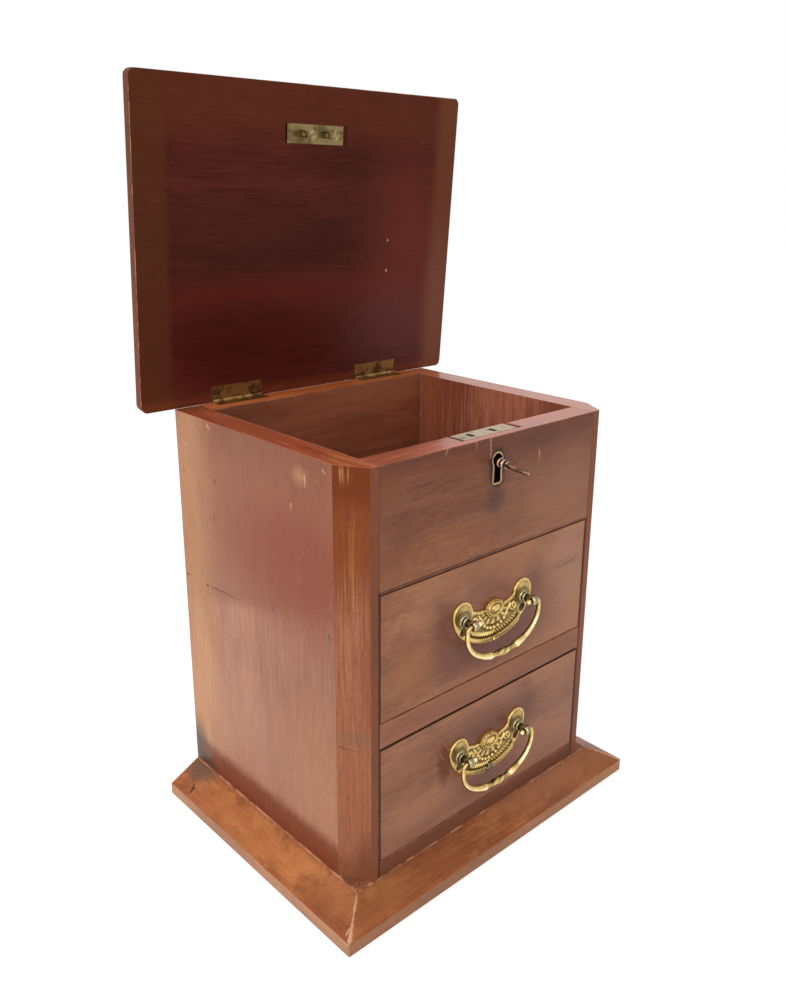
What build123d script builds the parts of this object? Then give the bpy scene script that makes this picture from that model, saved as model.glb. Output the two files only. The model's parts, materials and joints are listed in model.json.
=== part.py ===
"""Tabletop chest of two drawers with a lidded, lockable top compartment on a bevelled base.

Units are millimetres, +Z is up, the front faces -Y, and +X is to the right seen from the front.
The origin is the centre of the base's underside. The lid stands open and the key is in its lock.
"""
from build123d import *
import os
from math import radians, sin, tan

# Case
body_width = 200.0
body_depth = 165.0
base_height = 19.0
side_wall = 16.0
front_wall = 16.0
back_wall = 16.0
corner_cut_across = 10.0
corner_cut_along = 16.5
edge_round = 0.8
joint_line = 0.25
cut_past = 1.0
tongue = 4.0
tongue_setback = 5.0
bottom_shoulder = 2.0
rail_shoulder = 4.0
floor_shoulder = 1.0

# Height of the front's strips, from the base up
bottom_board = 10.0
lower_opening = 70.5
drawer_rail = 15.0
upper_opening = 73.5
top_panel = 67.0
floor_board = 8.0
rail_depth = 40.0
runner_width = 12.0

# Base
side_overhang = 20.0
front_overhang = 17.0
base_edge = 8.4
base_edge_round = 1.4
base_corner_round = 1.6
side_member = 44.0
base_screw_side_inset = 2.6
base_screw_front_inset = 8.0
base_screw_back_inset = 12.0

# Lid
lid_thickness = 7.6
lid_side_overhang = 20.0
lid_front_overhang = 17.0
lid_edge_round = 2.2
lid_corner_round = 4.0
lid_seat_gap = 0.2
lid_back_gap = 0.1
lid_open_angle = 85.6

# Butt hinges
hinge_inset = 44.0
hinge_length = 36.0
hinge_leaf_width = 9.5
hinge_leaf = 1.2
hinge_proud = 1.5
knuckle_radius = 1.9
knuckle_count = 5
knuckle_gap = 0.2
knuckle_relief = 0.25
hinge_pin_radius = 1.0
hinge_pin_end = 0.5
pin_hole_clearance = 0.05
hinge_screw_spread = 24.0
hinge_screw_inset = 6.2

# Small countersunk screws: head radius, head depth, shank radius, length
hinge_screw = (1.8, 1.0, 0.8, 6.0)
lock_screw = (2.0, 1.1, 0.9, 7.0)
striker_screw = (2.8, 1.2, 1.2, 5.6)
plate_screw = (2.1, 1.2, 1.0, 9.0)
base_screw = (3.4, 2.6, 1.6, 26.0)
screw_slot_width = 0.5
screw_slot_depth = 0.5
screw_first_turn = 25.0
screw_turn_step = 40.0

# Box lock
lock_width = 42.0
lock_height = 33.0
lock_depth = 11.0
selvage = 1.5
lock_plate = 1.2
lock_wall = 1.0
lock_box_width = 41.0
lock_box_rise = 6.5
lock_screw_inset = 4.0
lock_ledge = 6.0
mortise_left = 1.6
mortise_right = 3.2
keyhole_drop = 13.2
keyhole_radius = 3.3
keyhole_waist = 4.6
keyhole_skirt = 5.6
keyhole_corner = 0.8
keyhole_height = 16.2
escutcheon_wall = 1.4
escutcheon_depth = 4.0
drill_pin_radius = 0.8
drill_pin_length = 5.3
bolt_thickness = 1.8
bolt_throw = 4.0
bolt_finger = 2.2
bolt_finger_tip = 0.9
bolt_root = 2.6
bolt_root_gap = 0.5
bolt_end_gap = 1.0
bolt_gap = 0.2
lug_spots = (-11.0, 6.5)
lug_thickness = 1.8
lug_width = 4.0
lug_reach = 6.4
lug_round = 1.6
lug_eye = 2.9
lug_eye_rise = 0.6
striker_screw_offset = 9.2
slot_width = 3.4
slot_length = 5.6

# Key
key_shank_radius = 1.8
key_bore_radius = 1.25
key_bore_end = 2.0
key_tip_gap = 0.9
key_bit_radius = 6.5
key_bit_thickness = 1.5
key_bit_width = 5.2
key_bit_root = 0.4
key_bit_side_gap = 0.6
key_bit_top_gap = 0.4
key_droop = 6.0
key_turn_at_rest = 68.6
key_turn_range = 137.2
collar_start = 1.2
collar_rings = (2.7, 2.1, 2.7, 2.0, 2.4)
collar_ring = 1.3
bow_length = 15.0
bow_width = 15.0
bow_wire = 2.4
bow_thickness = 1.7

# Drawers
drawer_side_gap = 0.7
drawer_top_gap = 1.1
drawer_seat_gap = 0.2
drawer_back_gap = 9.0
drawer_front = 14.0
drawer_wall = 7.0
drawer_base = 4.0
drawer_groove = 3.0
drawer_base_rise = 4.0
drawer_side_drop = 2.0
drawer_back_drop = 5.0
dovetail_length = 9.0
dovetail_count = 3
dovetail_share = 0.7
dovetail_slope = 10.0
stop_length = 18.0
stop_width = 6.0
stop_height = 2.6
stop_inset = 39.0

# Handles, measured from the line through their two posts
handle_rise = 40.0
handle_centres = 49.2
plate_thickness = 1.7
plate_relief = 1.2
ear_radius = 7.8
ear_rise = 3.2
ear_neck = (-7.5, 3.8)
ear_side = (7.7, 2.0)
ear_flank = (4.9, -6.0)
plate_foot = (-0.6, -12.2)
plate_belly = (12.6, -17.9)
plate_waist = (9.0, 1.1)
plate_waist_bend = (13.6, 2.0)
plate_drop = 19.8
band_width = 2.7
band_end = 3.0
medallion_across = 14.8
medallion_up = 10.6
medallion_relief = 2.2
medallion_rise = 0.4
drop_radius = 1.9
drop_rise = 0.4
handle_screw_drop = 7.0
post_standoff = 9.5
post_neck = 1.9
eye_radius = 3.1
eye_half_width = 2.0
bail_end_radius = 1.1
bail_clearance = 0.3
bail_radius = 1.6
bail_drop = 23.8
bail_side_drop = 8.5
bail_foot_half = 14.5
bail_overhang = 5.6
bail_shoulder = 3.0
bail_corner = 12.0
bail_foot_corner = 14.0
bail_ball = 1.7
bail_swell = 2.3
rivet_radius = 1.5
rivet_length = 4.0

# Turned parts as (place along the axis, radius): a post's collars and the middle of a bail
post_turning = ((0.0, 3.6), (0.8, 3.6), (1.5, 2.6), (2.1, 3.0), (2.8, 3.0), (3.6, post_neck))
bail_turning = ((0.0, bail_swell), (2.0, 1.4), (8.2, 1.4))

# Heights and faces that follow from the sizes above
opening_2_floor = base_height + bottom_board
opening_2_top = opening_2_floor + lower_opening
opening_1_floor = opening_2_top + drawer_rail
opening_1_top = opening_1_floor + upper_opening
rim = opening_1_top + top_panel
back_y = (body_depth + front_overhang) / 2
front_y = back_y - body_depth
inner_front_y = front_y + front_wall
inner_back_y = back_y - back_wall
half_body = body_width / 2
half_inside = half_body - side_wall
hinge_y = back_y + hinge_proud
hinge_z = rim + lid_seat_gap / 2
lid_back_y = hinge_y - lid_back_gap
lid_under = rim + lid_seat_gap
keyhole_z = rim - keyhole_drop
lock_front_y = inner_front_y - lock_depth
lock_cap_y = inner_front_y - lock_plate
lug_y = inner_front_y - lock_depth / 2

# Ways a screw's head can face
upright = Rot(0, 0, 0)
upside_down = Rot(180, 0, 0)
facing_back = Rot(-90, 0, 0)

os.makedirs("parts", exist_ok=True)


def block(x0, x1, y0, y1, z0, z1):
    """Straight block between two corners."""
    return Pos((x0 + x1) / 2, (y0 + y1) / 2, (z0 + z1) / 2) * Box(x1 - x0, y1 - y0, z1 - z0)


def prism(points, low, high):
    """Upright prism over a plan outline of (x, y) points."""
    return Pos(0, 0, low) * extrude(make_face(Polyline(*points, close=True)), high - low)


def rod_x(x0, x1, y, z, radius):
    return Pos((x0 + x1) / 2, y, z) * Rot(0, 90, 0) * Cylinder(radius, x1 - x0)


def rod_y(y0, y1, x, z, radius):
    return Pos(x, (y0 + y1) / 2, z) * Rot(90, 0, 0) * Cylinder(radius, y1 - y0)


def mirrored(shape):
    return mirror(shape, about=Plane.YZ)


def save(name, shape):
    export_step(shape, f"parts/{name}.step")


def screw(sizes, slotted=True):
    """Countersunk screw with its head's top at the origin and its shank along -Z."""
    head, sink, shank, length = sizes
    outline = Polyline(
        (0, 0), (head, 0), (shank, -sink), (shank, shank - length), (0, -length), close=True
    )
    body = revolve(make_face(Plane.XZ * outline), Axis.Z)
    if slotted:
        body -= Pos(0, 0, -screw_slot_depth / 2) * Box(3 * head, screw_slot_width, screw_slot_depth)
    return body


def screws_at(places, sizes, turn, slotted=True):
    """Screws with their heads at the given points, all turned the same way."""
    return [Pos(*place) * turn * Rot(0, 0, screw_first_turn + screw_turn_step * n) * screw(sizes, slotted)
            for n, place in enumerate(places)]


def cut_all(shape, tools):
    for tool in tools:
        shape -= tool
    return shape


def edges_along_z(shape, spots):
    """Upright edges of a shape at the given (x, y) spots."""
    chosen = []
    for edge in shape.edges().filter_by(Axis.Z):
        middle = edge.center()
        if any(abs(middle.X - x) < 0.01 and abs(middle.Y - y) < 0.01 for x, y in spots):
            chosen.append(edge)
    return chosen


# Case joints: tongues of the boards and rail that are let into the sides
def board_tongues(y0, y1, z0, z1):
    left = block(-half_inside - tongue, -half_inside, y0, y1, z0, z1)
    return left, mirrored(left)


bottom_tongues = board_tongues(front_y + tongue_setback, inner_back_y,
                               base_height + bottom_shoulder, opening_2_floor - bottom_shoulder)
rail_tongues = board_tongues(front_y + tongue_setback, front_y + rail_depth,
                             opening_2_top + rail_shoulder, opening_1_floor - rail_shoulder)
floor_tongues = board_tongues(inner_front_y, inner_back_y, opening_1_top + floor_shoulder,
                              opening_1_top + floor_board - floor_shoulder)


def case_side():
    outline = [
        (-half_body, back_y),
        (-half_body, front_y + corner_cut_along),
        (-half_body + corner_cut_across, front_y),
        (-half_inside, front_y),
        (-half_inside, back_y),
    ]
    side = prism(outline, base_height, rim)
    side = fillet(edges_along_z(side, outline[:3]), edge_round)
    side = fillet(edges_along_z(side, outline[3:4]), joint_line)
    top_rim = side.faces().sort_by(Axis.Z)[-1].edges()
    outer = [e for e in top_rim if e.center().X < -half_body + edge_round]
    side = fillet(outer, joint_line)
    return cut_all(side, [bottom_tongues[0], rail_tongues[0], floor_tongues[0]])


left_side = case_side()
save("case_side_left", left_side)
save("case_side_right", mirrored(left_side))

board = block(-half_inside, half_inside, front_y, inner_back_y, base_height, opening_2_floor)
base_screw_x = half_inside - base_screw_side_inset
base_screw_places = [(x, y, 0.0)
                     for x in (-base_screw_x, 0.0, base_screw_x)
                     for y in (inner_front_y - base_screw_front_inset,
                               inner_back_y - base_screw_back_inset)]
base_screws = screws_at(base_screw_places, base_screw, upside_down)
base_screw_holes = screws_at(base_screw_places, base_screw, upside_down, False)
save("base_screws", Compound(children=base_screws))
save("bottom_board", cut_all(board + bottom_tongues[0] + bottom_tongues[1], base_screw_holes))

rail = block(-half_inside, half_inside, front_y, front_y + rail_depth, opening_2_top, opening_1_floor)
save("drawer_rail", rail + rail_tongues[0] + rail_tongues[1])

runner = block(-half_inside, -half_inside + runner_width, front_y + rail_depth, inner_back_y,
               opening_2_top, opening_1_floor)
save("runner_left", runner)
save("runner_right", mirrored(runner))

floor = block(-half_inside, half_inside, inner_front_y, inner_back_y,
              opening_1_top, opening_1_top + floor_board)
save("compartment_floor", floor + floor_tongues[0] + floor_tongues[1])


# Base: a board with three bevelled members mitred round its front and sides
def base_member_profile(overhang, width):
    return make_face(Polyline(
        (0, 0), (0, base_edge), (overhang, base_height), (width, base_height), (width, 0), close=True))


half_base = half_body + side_overhang
front_member = side_member * front_overhang / side_overhang
base_front_y = front_y - front_overhang
base_plan = Pos(0, (base_front_y + back_y) / 2, 0) * extrude(
    RectangleRounded(2 * half_base, back_y - base_front_y, base_corner_round), base_height)
inner_base_x = half_base - side_member
inner_base_y = base_front_y + front_member


def base_member(overhang, width, length):
    """Bevelled member along +Y with its outer face on X = 0, before its ends are cut."""
    member = extrude(Plane.XZ * base_member_profile(overhang, width), -length)
    rounded = [e for e in member.edges().filter_by(Axis.Y) if e.center().X < 0.01]
    return fillet(rounded, base_edge_round)


long_side = 2 * half_base
side_stock = Pos(-half_base, base_front_y, 0) * base_member(side_overhang, side_member, long_side)
side_plan = prism([(-half_base, base_front_y), (-inner_base_x, inner_base_y),
                   (-inner_base_x, back_y), (-half_base, back_y)], 0, base_height)
left_member = side_stock & side_plan & (base_plan + block(
    -half_base, half_base, 0, back_y, 0, base_height))
front_stock = Pos(half_base, base_front_y, 0) * Rot(0, 0, 90) * base_member(
    front_overhang, front_member, long_side)
front_plan = prism([(-half_base, base_front_y), (half_base, base_front_y),
                    (inner_base_x, inner_base_y), (-inner_base_x, inner_base_y)], 0, base_height)
base_board = block(-inner_base_x, inner_base_x, inner_base_y, back_y, 0, base_height)
save("base_moulding_left", cut_all(left_member, base_screw_holes))
save("base_moulding_right", cut_all(mirrored(left_member), base_screw_holes))
save("base_moulding_front", cut_all(front_stock & front_plan & base_plan, base_screw_holes))
save("base_board", cut_all(base_board, base_screw_holes))


# Lid, hinges and everything on the lid are drawn with the lid shut, then swung open
def open_lid(shape):
    return Pos(0, hinge_y, hinge_z) * Rot(-lid_open_angle, 0, 0) * Pos(0, -hinge_y, -hinge_z) * shape


leaf_front = hinge_y - hinge_leaf_width
hinge_half = hinge_length / 2
knuckle_pitch = hinge_length / knuckle_count


def hinge_relief(x):
    """Room for a hinge's knuckles."""
    return rod_x(x - hinge_half, x + hinge_half, hinge_y, hinge_z, knuckle_radius + knuckle_relief)


def hinge_leaf_shape(x, low, high, first):
    """One leaf: a sheet and every second knuckle, counted from the first."""
    clear = knuckle_radius + knuckle_relief
    leaf = block(x - hinge_half, x + hinge_half, leaf_front, hinge_y, low, high)
    for n in range(knuckle_count):
        start = x - hinge_half + n * knuckle_pitch
        if n % 2 == first:
            leaf += rod_x(start + knuckle_gap / 2, start + knuckle_pitch - knuckle_gap / 2,
                          hinge_y, hinge_z, knuckle_radius)
    for n in range(knuckle_count):
        start = x - hinge_half + n * knuckle_pitch
        if n % 2 != first:
            leaf -= block(start - knuckle_gap / 2, start + knuckle_pitch + knuckle_gap / 2,
                          hinge_y - clear, hinge_y + clear, hinge_z - clear, hinge_z + clear)
    return leaf


case_leaf_low = rim - hinge_leaf
lid_leaf_high = lid_under + hinge_leaf
hinge_xs = {"left": hinge_inset - half_body, "right": half_body - hinge_inset}
screw_y = hinge_y - hinge_screw_inset
case_hinge_screw_places = []
lid_hinge_screw_places = []
for x in hinge_xs.values():
    for side in (-1, 1):
        case_hinge_screw_places.append((x + side * hinge_screw_spread / 2, screw_y, rim))
        lid_hinge_screw_places.append((x + side * hinge_screw_spread / 2, screw_y, lid_under))
case_hinge_screws = screws_at(case_hinge_screw_places, hinge_screw, upright)
case_hinge_holes = screws_at(case_hinge_screw_places, hinge_screw, upright, False)
lid_hinge_screws = screws_at(lid_hinge_screw_places, hinge_screw, upside_down)
lid_hinge_holes = screws_at(lid_hinge_screw_places, hinge_screw, upside_down, False)

for side, x in hinge_xs.items():
    case_leaf = hinge_leaf_shape(x, case_leaf_low, rim, 0)
    case_leaf -= rod_x(x - hinge_half, x + hinge_half, hinge_y, hinge_z, hinge_pin_radius)
    lid_leaf = hinge_leaf_shape(x, lid_under, lid_leaf_high, 1)
    lid_leaf -= rod_x(x - hinge_half, x + hinge_half, hinge_y, hinge_z,
                      hinge_pin_radius + pin_hole_clearance)
    save(f"hinge_{side}_case_leaf", cut_all(case_leaf, case_hinge_holes))
    save(f"hinge_{side}_lid_leaf", open_lid(cut_all(lid_leaf, lid_hinge_holes)))
    save(f"hinge_{side}_pin", rod_x(x - hinge_half - hinge_pin_end, x + hinge_half + hinge_pin_end,
                                    hinge_y, hinge_z, hinge_pin_radius))
save("hinge_screws_case", Compound(children=case_hinge_screws))
save("hinge_screws_lid", Compound(children=[open_lid(s) for s in lid_hinge_screws]))

back_panel = block(-half_inside, half_inside, inner_back_y, back_y, base_height, rim)
for x in hinge_xs.values():
    back_panel -= block(x - hinge_half, x + hinge_half, leaf_front, back_y, case_leaf_low, rim)
    back_panel -= hinge_relief(x)
    back_panel -= rod_x(x - hinge_half - hinge_pin_end, x + hinge_half + hinge_pin_end,
                        hinge_y, hinge_z, hinge_pin_radius + knuckle_relief)
save("back_panel", cut_all(back_panel, case_hinge_holes))

# Link plate on the lid: two eyed lugs that drop through the lock's slots
plate_front = lock_front_y
plate_back = inner_front_y
striker = block(-lock_width / 2, lock_width / 2, plate_front, plate_back,
                lid_under, lid_under + lock_plate)
lug_tip = lid_under - lug_reach
eye_z = lug_tip + lug_width / 2 + lug_eye_rise
for x in lug_spots:
    lug = block(x - lug_thickness / 2, x + lug_thickness / 2, lug_y - lug_width / 2,
                lug_y + lug_width / 2, lug_tip, lid_under)
    lug = fillet(lug.faces().sort_by(Axis.Z)[0].edges().filter_by(Axis.X), lug_round)
    lug -= rod_x(x - lug_thickness, x + lug_thickness, lug_y, eye_z, lug_eye / 2)
    striker += lug
striker_places = [(x + striker_screw_offset, lug_y, lid_under) for x in lug_spots]
striker_screws = screws_at(striker_places, striker_screw, upside_down)
striker_holes = screws_at(striker_places, striker_screw, upside_down, False)
save("striker_plate", open_lid(cut_all(striker, striker_holes)))
save("striker_screws", Compound(children=[open_lid(s) for s in striker_screws]))

lid_half = half_body + lid_side_overhang
lid_front = front_y - lid_front_overhang
lid = Pos(0, (lid_front + lid_back_y) / 2, lid_under) * extrude(
    RectangleRounded(2 * lid_half, lid_back_y - lid_front, lid_corner_round), lid_thickness)
lid = fillet(lid.faces().sort_by(Axis.Z)[-1].edges(), lid_edge_round)
lid -= block(-lock_width / 2 - mortise_left, lock_width / 2 + mortise_right, plate_front, plate_back,
             lid_under, lid_under + lock_plate)
for x in hinge_xs.values():
    lid -= block(x - hinge_half, x + hinge_half, leaf_front, hinge_y, lid_under, lid_leaf_high)
    lid -= hinge_relief(x)
    lid -= rod_x(x - hinge_half - hinge_pin_end - knuckle_gap, x + hinge_half + hinge_pin_end
                 + knuckle_gap, hinge_y, hinge_z, hinge_pin_radius + knuckle_relief)
save("lid_panel", open_lid(cut_all(lid, striker_holes + lid_hinge_holes)))


# Front panel with the box lock let in from behind and above
def keyhole(grow, y0, y1):
    """Keyhole shape through y0 to y1: a round head over a flared skirt, grown outwards all round."""
    waist = keyhole_waist / 2 + grow
    foot = keyhole_skirt / 2 + grow
    low = keyhole_z + keyhole_radius - keyhole_height - grow
    corners = ((-waist, keyhole_z), (-foot, low), (foot, low), (waist, keyhole_z))
    outline = make_face(Plane.XZ * Polyline(*corners, close=True))
    skirt = Pos(0, y1, 0) * extrude(outline, y1 - y0)
    skirt = fillet(skirt.edges().filter_by(Axis.Y).group_by(Axis.Z)[0], keyhole_corner + grow)
    return rod_y(y0, y1, 0, keyhole_z, keyhole_radius + grow) + skirt


lock_low = rim - lock_height
box_low = lock_low + lock_box_rise
box_half = lock_box_width / 2
lock_half = lock_width / 2
plate = block(-lock_half, lock_half, lock_cap_y, inner_front_y, lock_low, rim)
plate += block(-lock_half, lock_half, lock_front_y, inner_front_y, rim - selvage, rim)
for x in lug_spots:
    plate -= block(x - slot_width / 2, x + slot_width / 2, lug_y - slot_length / 2,
                   lug_y + slot_length / 2, rim - selvage, rim)
lock_screw_places = [(x, inner_front_y, lock_low + lock_box_rise / 2)
                     for x in (-lock_half + lock_screw_inset, 0.0, lock_half - lock_screw_inset)]
lock_screws = screws_at(lock_screw_places, lock_screw, facing_back)
lock_holes = screws_at(lock_screw_places, lock_screw, facing_back, False)
drill_pin = rod_y(lock_cap_y - drill_pin_length, lock_cap_y, 0, keyhole_z, drill_pin_radius)
save("lock_plate", cut_all(plate, lock_holes))
save("lock_screws", Compound(children=lock_screws))
save("lock_drill_pin", drill_pin)

lock_box = block(-box_half, box_half, lock_front_y, lock_cap_y, box_low, rim - selvage)
lock_box -= block(-box_half + lock_wall, box_half - lock_wall, lock_front_y + lock_wall, lock_cap_y,
                  box_low + lock_wall, rim - selvage)
lock_box -= keyhole(0, lock_front_y - cut_past, lock_front_y + lock_wall + cut_past)
bolt_back = lock_cap_y - bolt_gap
bolt_front = bolt_back - bolt_thickness
bolt_top = rim - selvage - bolt_gap
bolt_low = keyhole_z + key_bit_radius / 2
ledge_top = bolt_low - bolt_gap
ledge = block(-box_half + lock_wall, -box_half + lock_wall + lock_ledge, bolt_front, lock_cap_y,
              box_low + lock_wall, ledge_top)
lock_box += ledge + mirrored(ledge)
save("lock_box", lock_box)

front_panel = block(-half_inside, half_inside, front_y, inner_front_y, opening_1_top, rim)
front_panel = fillet(edges_along_z(front_panel, [(-half_inside, front_y), (half_inside, front_y)]),
                     joint_line)
front_panel -= block(-lock_half - mortise_left, lock_half + mortise_right, lock_front_y,
                     inner_front_y, rim - selvage, rim)
front_panel -= block(-lock_half, lock_half, lock_cap_y, inner_front_y, lock_low, rim)
front_panel -= block(-box_half, box_half, lock_front_y, lock_cap_y, box_low, rim - selvage)
front_panel -= keyhole(0, front_y, lock_front_y)
front_panel -= keyhole(escutcheon_wall, front_y, front_y + escutcheon_depth)
save("front_panel", cut_all(front_panel, lock_holes))
ring = keyhole(escutcheon_wall, front_y, front_y + escutcheon_depth)
save("escutcheon", ring - keyhole(0, front_y - cut_past, front_y + escutcheon_depth + cut_past))

# Lock bolt: a plate behind the lugs, with two fingers that slide through the lugs' eyes
finger_z = eye_z + (rim - lid_under)
root_offset = lug_thickness / 2 + bolt_throw + bolt_root_gap
bolt_left = lug_spots[0] - root_offset - bolt_root
bolt_right = box_half - lock_wall - bolt_throw - bolt_end_gap
bolt = block(bolt_left, bolt_right, bolt_front, bolt_back, bolt_low, bolt_top)
bit_swing = key_bit_radius * sin(radians(key_turn_at_rest))
bit_room = key_bit_thickness + key_bit_side_gap
bolt -= block(-bit_swing - bit_room, bit_swing - bolt_throw + bit_room, bolt_front, bolt_back,
              bolt_low, keyhole_z + key_bit_radius + key_bit_top_gap)
for x in lug_spots:
    root_right = x - root_offset
    tip = x - lug_thickness / 2 - bolt_finger_tip
    finger_front = lug_y - bolt_finger / 2
    bolt += block(root_right - bolt_root, root_right, finger_front, bolt_front,
                  finger_z - bolt_finger / 2, finger_z + bolt_finger / 2)
    bolt += rod_x(root_right - bolt_root / 2, tip, lug_y, finger_z, bolt_finger / 2)
save("lock_bolt", bolt)


# Key: shank, bored end, bit, turned collar and ring bow, drawn level with its bit up
def key():
    start = lock_cap_y - key_tip_gap
    collar = front_y - collar_start
    shank = rod_y(collar - collar_ring, start, 0, 0, key_shank_radius)
    shank -= rod_y(start - drill_pin_length - key_bore_end, start, 0, 0, key_bore_radius)
    bit = block(-key_bit_thickness / 2, key_bit_thickness / 2, start - key_bit_width, start,
                key_shank_radius - key_bit_root, key_bit_radius)
    body = shank + bit
    place = collar
    for radius in collar_rings:
        body += rod_y(place - collar_ring, place, 0, 0, radius)
        place -= collar_ring
    outer = extrude(Ellipse(bow_length / 2, bow_width / 2), bow_thickness)
    inner = extrude(Ellipse(bow_length / 2 - bow_wire, bow_width / 2 - bow_wire), bow_thickness)
    bow = Pos(0, 0, -bow_thickness / 2) * (outer - inner)
    bow = Rot(0, 90, 0) * Rot(0, 0, 90) * bow
    return body + Pos(0, place - bow_length / 2 + bow_wire / 2, 0) * bow


key_pivot_y = lock_cap_y - key_tip_gap - drill_pin_length / 2
key_place = Pos(0, key_pivot_y, keyhole_z) * Rot(key_droop, 0, 0) * Rot(0, -key_turn_at_rest, 0)
save("key", key_place * Pos(0, -key_pivot_y, 0) * key())


# Drawers
def drawer(name, low, opening):
    """Front, two sides dovetailed into it, back and bottom of the drawer in one opening."""
    base = low + drawer_seat_gap
    top = low + opening - drawer_top_gap
    half = half_inside - drawer_side_gap
    side_top = top - drawer_side_drop
    inside = half - drawer_wall
    front_inner = front_y + drawer_front
    end = inner_back_y - drawer_back_gap
    bottom_low = base + drawer_base_rise
    bottom_high = bottom_low + drawer_base
    sheet = block(-inside - drawer_groove, inside + drawer_groove, front_inner - drawer_groove, end,
                  bottom_low, bottom_high)
    side = block(-half, -inside, front_inner, end, base, side_top)
    pitch = (side_top - base) / dovetail_count
    root = dovetail_share * pitch / 2
    flare = dovetail_length * tan(radians(dovetail_slope))
    for n in range(dovetail_count):
        middle = base + (n + 0.5) * pitch
        tail = Pos(-half, 0, 0) * extrude(Plane.YZ * make_face(Polyline(
            (front_inner, middle - root), (front_inner, middle + root),
            (front_inner - dovetail_length, middle + root + flare),
            (front_inner - dovetail_length, middle - root - flare), close=True)), drawer_wall)
        side += tail
    front = block(-half, half, front_y, front_inner, base, top)
    front = fillet(front.faces().sort_by(Axis.Y)[0].edges(), edge_round)
    right = mirrored(side)
    front = front - side - right - sheet
    back = block(-inside, inside, end - drawer_wall, end, bottom_high, side_top - drawer_back_drop)
    save(f"{name}_side_left", side - sheet)
    save(f"{name}_side_right", right - sheet)
    save(f"{name}_back", back)
    save(f"{name}_bottom", sheet)
    return front


stops = []
for low in (opening_1_floor, opening_2_floor):
    for side in (-1, 1):
        x = side * (half_inside - stop_inset)
        y = front_y + drawer_front + drawer_seat_gap
        stops.append(block(x - stop_length / 2, x + stop_length / 2, y, y + stop_width,
                           low, low + stop_height))
save("drawer_stops", Compound(children=stops))


# Handles are drawn flat, with the post line at the origin, Y up and +Z away from the drawer
half_centres = handle_centres / 2


def both_sides(half):
    return half + mirror(half, about=Plane.YZ)


def plate_outline():
    """Half the backplate: a round ear over the post, and a swag to the middle."""
    ear_points = (ear_neck, ear_side, ear_flank, plate_foot)
    neck, side, flank, foot = [(half_centres + x, y) for x, y in ear_points]
    low = (0, -plate_drop)
    top = (0, plate_waist[1])
    return make_face([
        Line(top, plate_waist),
        ThreePointArc(plate_waist, plate_waist_bend, neck),
        ThreePointArc(neck, (half_centres, ear_rise + ear_radius), side),
        ThreePointArc(side, flank, foot),
        ThreePointArc(foot, plate_belly, low),
        Line(low, top),
    ])


def backplate():
    """Plate with its lower band, middle medallion and drop standing proud of it."""
    raised = plate_thickness + plate_relief
    half_plate = extrude(plate_outline(), plate_thickness)
    band_reach = half_centres - band_end
    band = extrude(plate_outline(), raised) - Pos(0, band_width, 0) * extrude(plate_outline(), raised)
    band &= block(0, band_reach, -plate_drop, plate_foot[1] + band_width, 0, raised)
    plate = both_sides(half_plate + band)
    plate += Pos(0, medallion_rise, 0) * extrude(
        Ellipse(medallion_across / 2, medallion_up / 2), plate_thickness + medallion_relief)
    plate += Pos(0, drop_rise - plate_drop, 0) * extrude(Circle(drop_radius), raised)
    return plate


def post():
    """Riveted post: stem in the drawer front, collars, and an eye bored along X for the bail."""
    foot = plate_thickness
    profile = [(0, -rivet_length), (rivet_radius, -rivet_length), (rivet_radius, foot)]
    profile += [(radius, foot + place) for place, radius in post_turning]
    profile += [(post_neck, post_standoff), (0, post_standoff)]
    body = revolve(make_face(Plane.XZ * Polyline(*profile, close=True)), Axis.Z)
    eye = Pos(0, 0, post_standoff) * Sphere(eye_radius)
    eye &= block(-eye_half_width, eye_half_width, -eye_radius, eye_radius, 0, 2 * post_standoff)
    return body + eye - rod_x(-eye_radius, eye_radius, 0, post_standoff,
                              bail_end_radius + bail_clearance)


def bail_swelling():
    """Turned middle of the bail: a bead between two pairs of swellings."""
    edges = [Line((0, 0), bail_turning[0]), Line(bail_turning[0], bail_turning[1])]
    for start, end in zip(bail_turning[1:], bail_turning[2:]):
        edges.append(ThreePointArc(start, ((start[0] + end[0]) / 2, bail_swell), end))
    reach = (bail_turning[-1][0], 0)
    edges += [Line(bail_turning[-1], reach), Line(reach, (0, 0))]
    return Pos(0, -bail_drop, 0) * both_sides(revolve(make_face(edges), Axis.X))


def bail():
    """Bail in the posts' eyes: ball ends, round shoulders and corners, turned middle."""
    ball_x = half_centres - eye_half_width - bail_clearance - bail_ball
    turn_x = half_centres + eye_half_width + bail_clearance
    side = half_centres + bail_overhang
    path = FilletPolyline((turn_x, 0), (side, 0), (side, -bail_side_drop), (bail_foot_half, -bail_drop),
                          (bail_turning[-1][0], -bail_drop),
                          radius=(bail_shoulder, bail_corner, bail_foot_corner))
    arm = sweep((path ^ 0) * Circle(bail_radius), path=path)
    arm += rod_x(ball_x, turn_x + bail_end_radius, 0, 0, bail_end_radius)
    arm += Pos(ball_x, 0, 0) * Sphere(bail_ball)
    return Pos(0, 0, post_standoff) * (both_sides(arm) + bail_swelling())


def handle(name, post_z):
    """Saves one handle's pieces, and returns what its drawer front is bored for."""
    def hung(shape):
        return Pos(0, front_y, post_z) * Rot(90, 0, 0) * shape

    posts = [Pos(x, 0, 0) * post() for x in (-half_centres, half_centres)]
    screw_places = [(x, -handle_screw_drop, plate_thickness) for x in (-half_centres, half_centres)]
    screws = screws_at(screw_places, plate_screw, upright)
    holes = screws_at(screw_places, plate_screw, upright, False)
    save(f"{name}_backplate", hung(cut_all(backplate(), posts + holes)))
    save(f"{name}_posts", Compound(children=[hung(p) for p in posts]))
    save(f"{name}_screws", Compound(children=[hung(s) for s in screws]))
    save(f"{name}_bail", hung(bail()))
    return [hung(p) for p in posts + holes]


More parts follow.
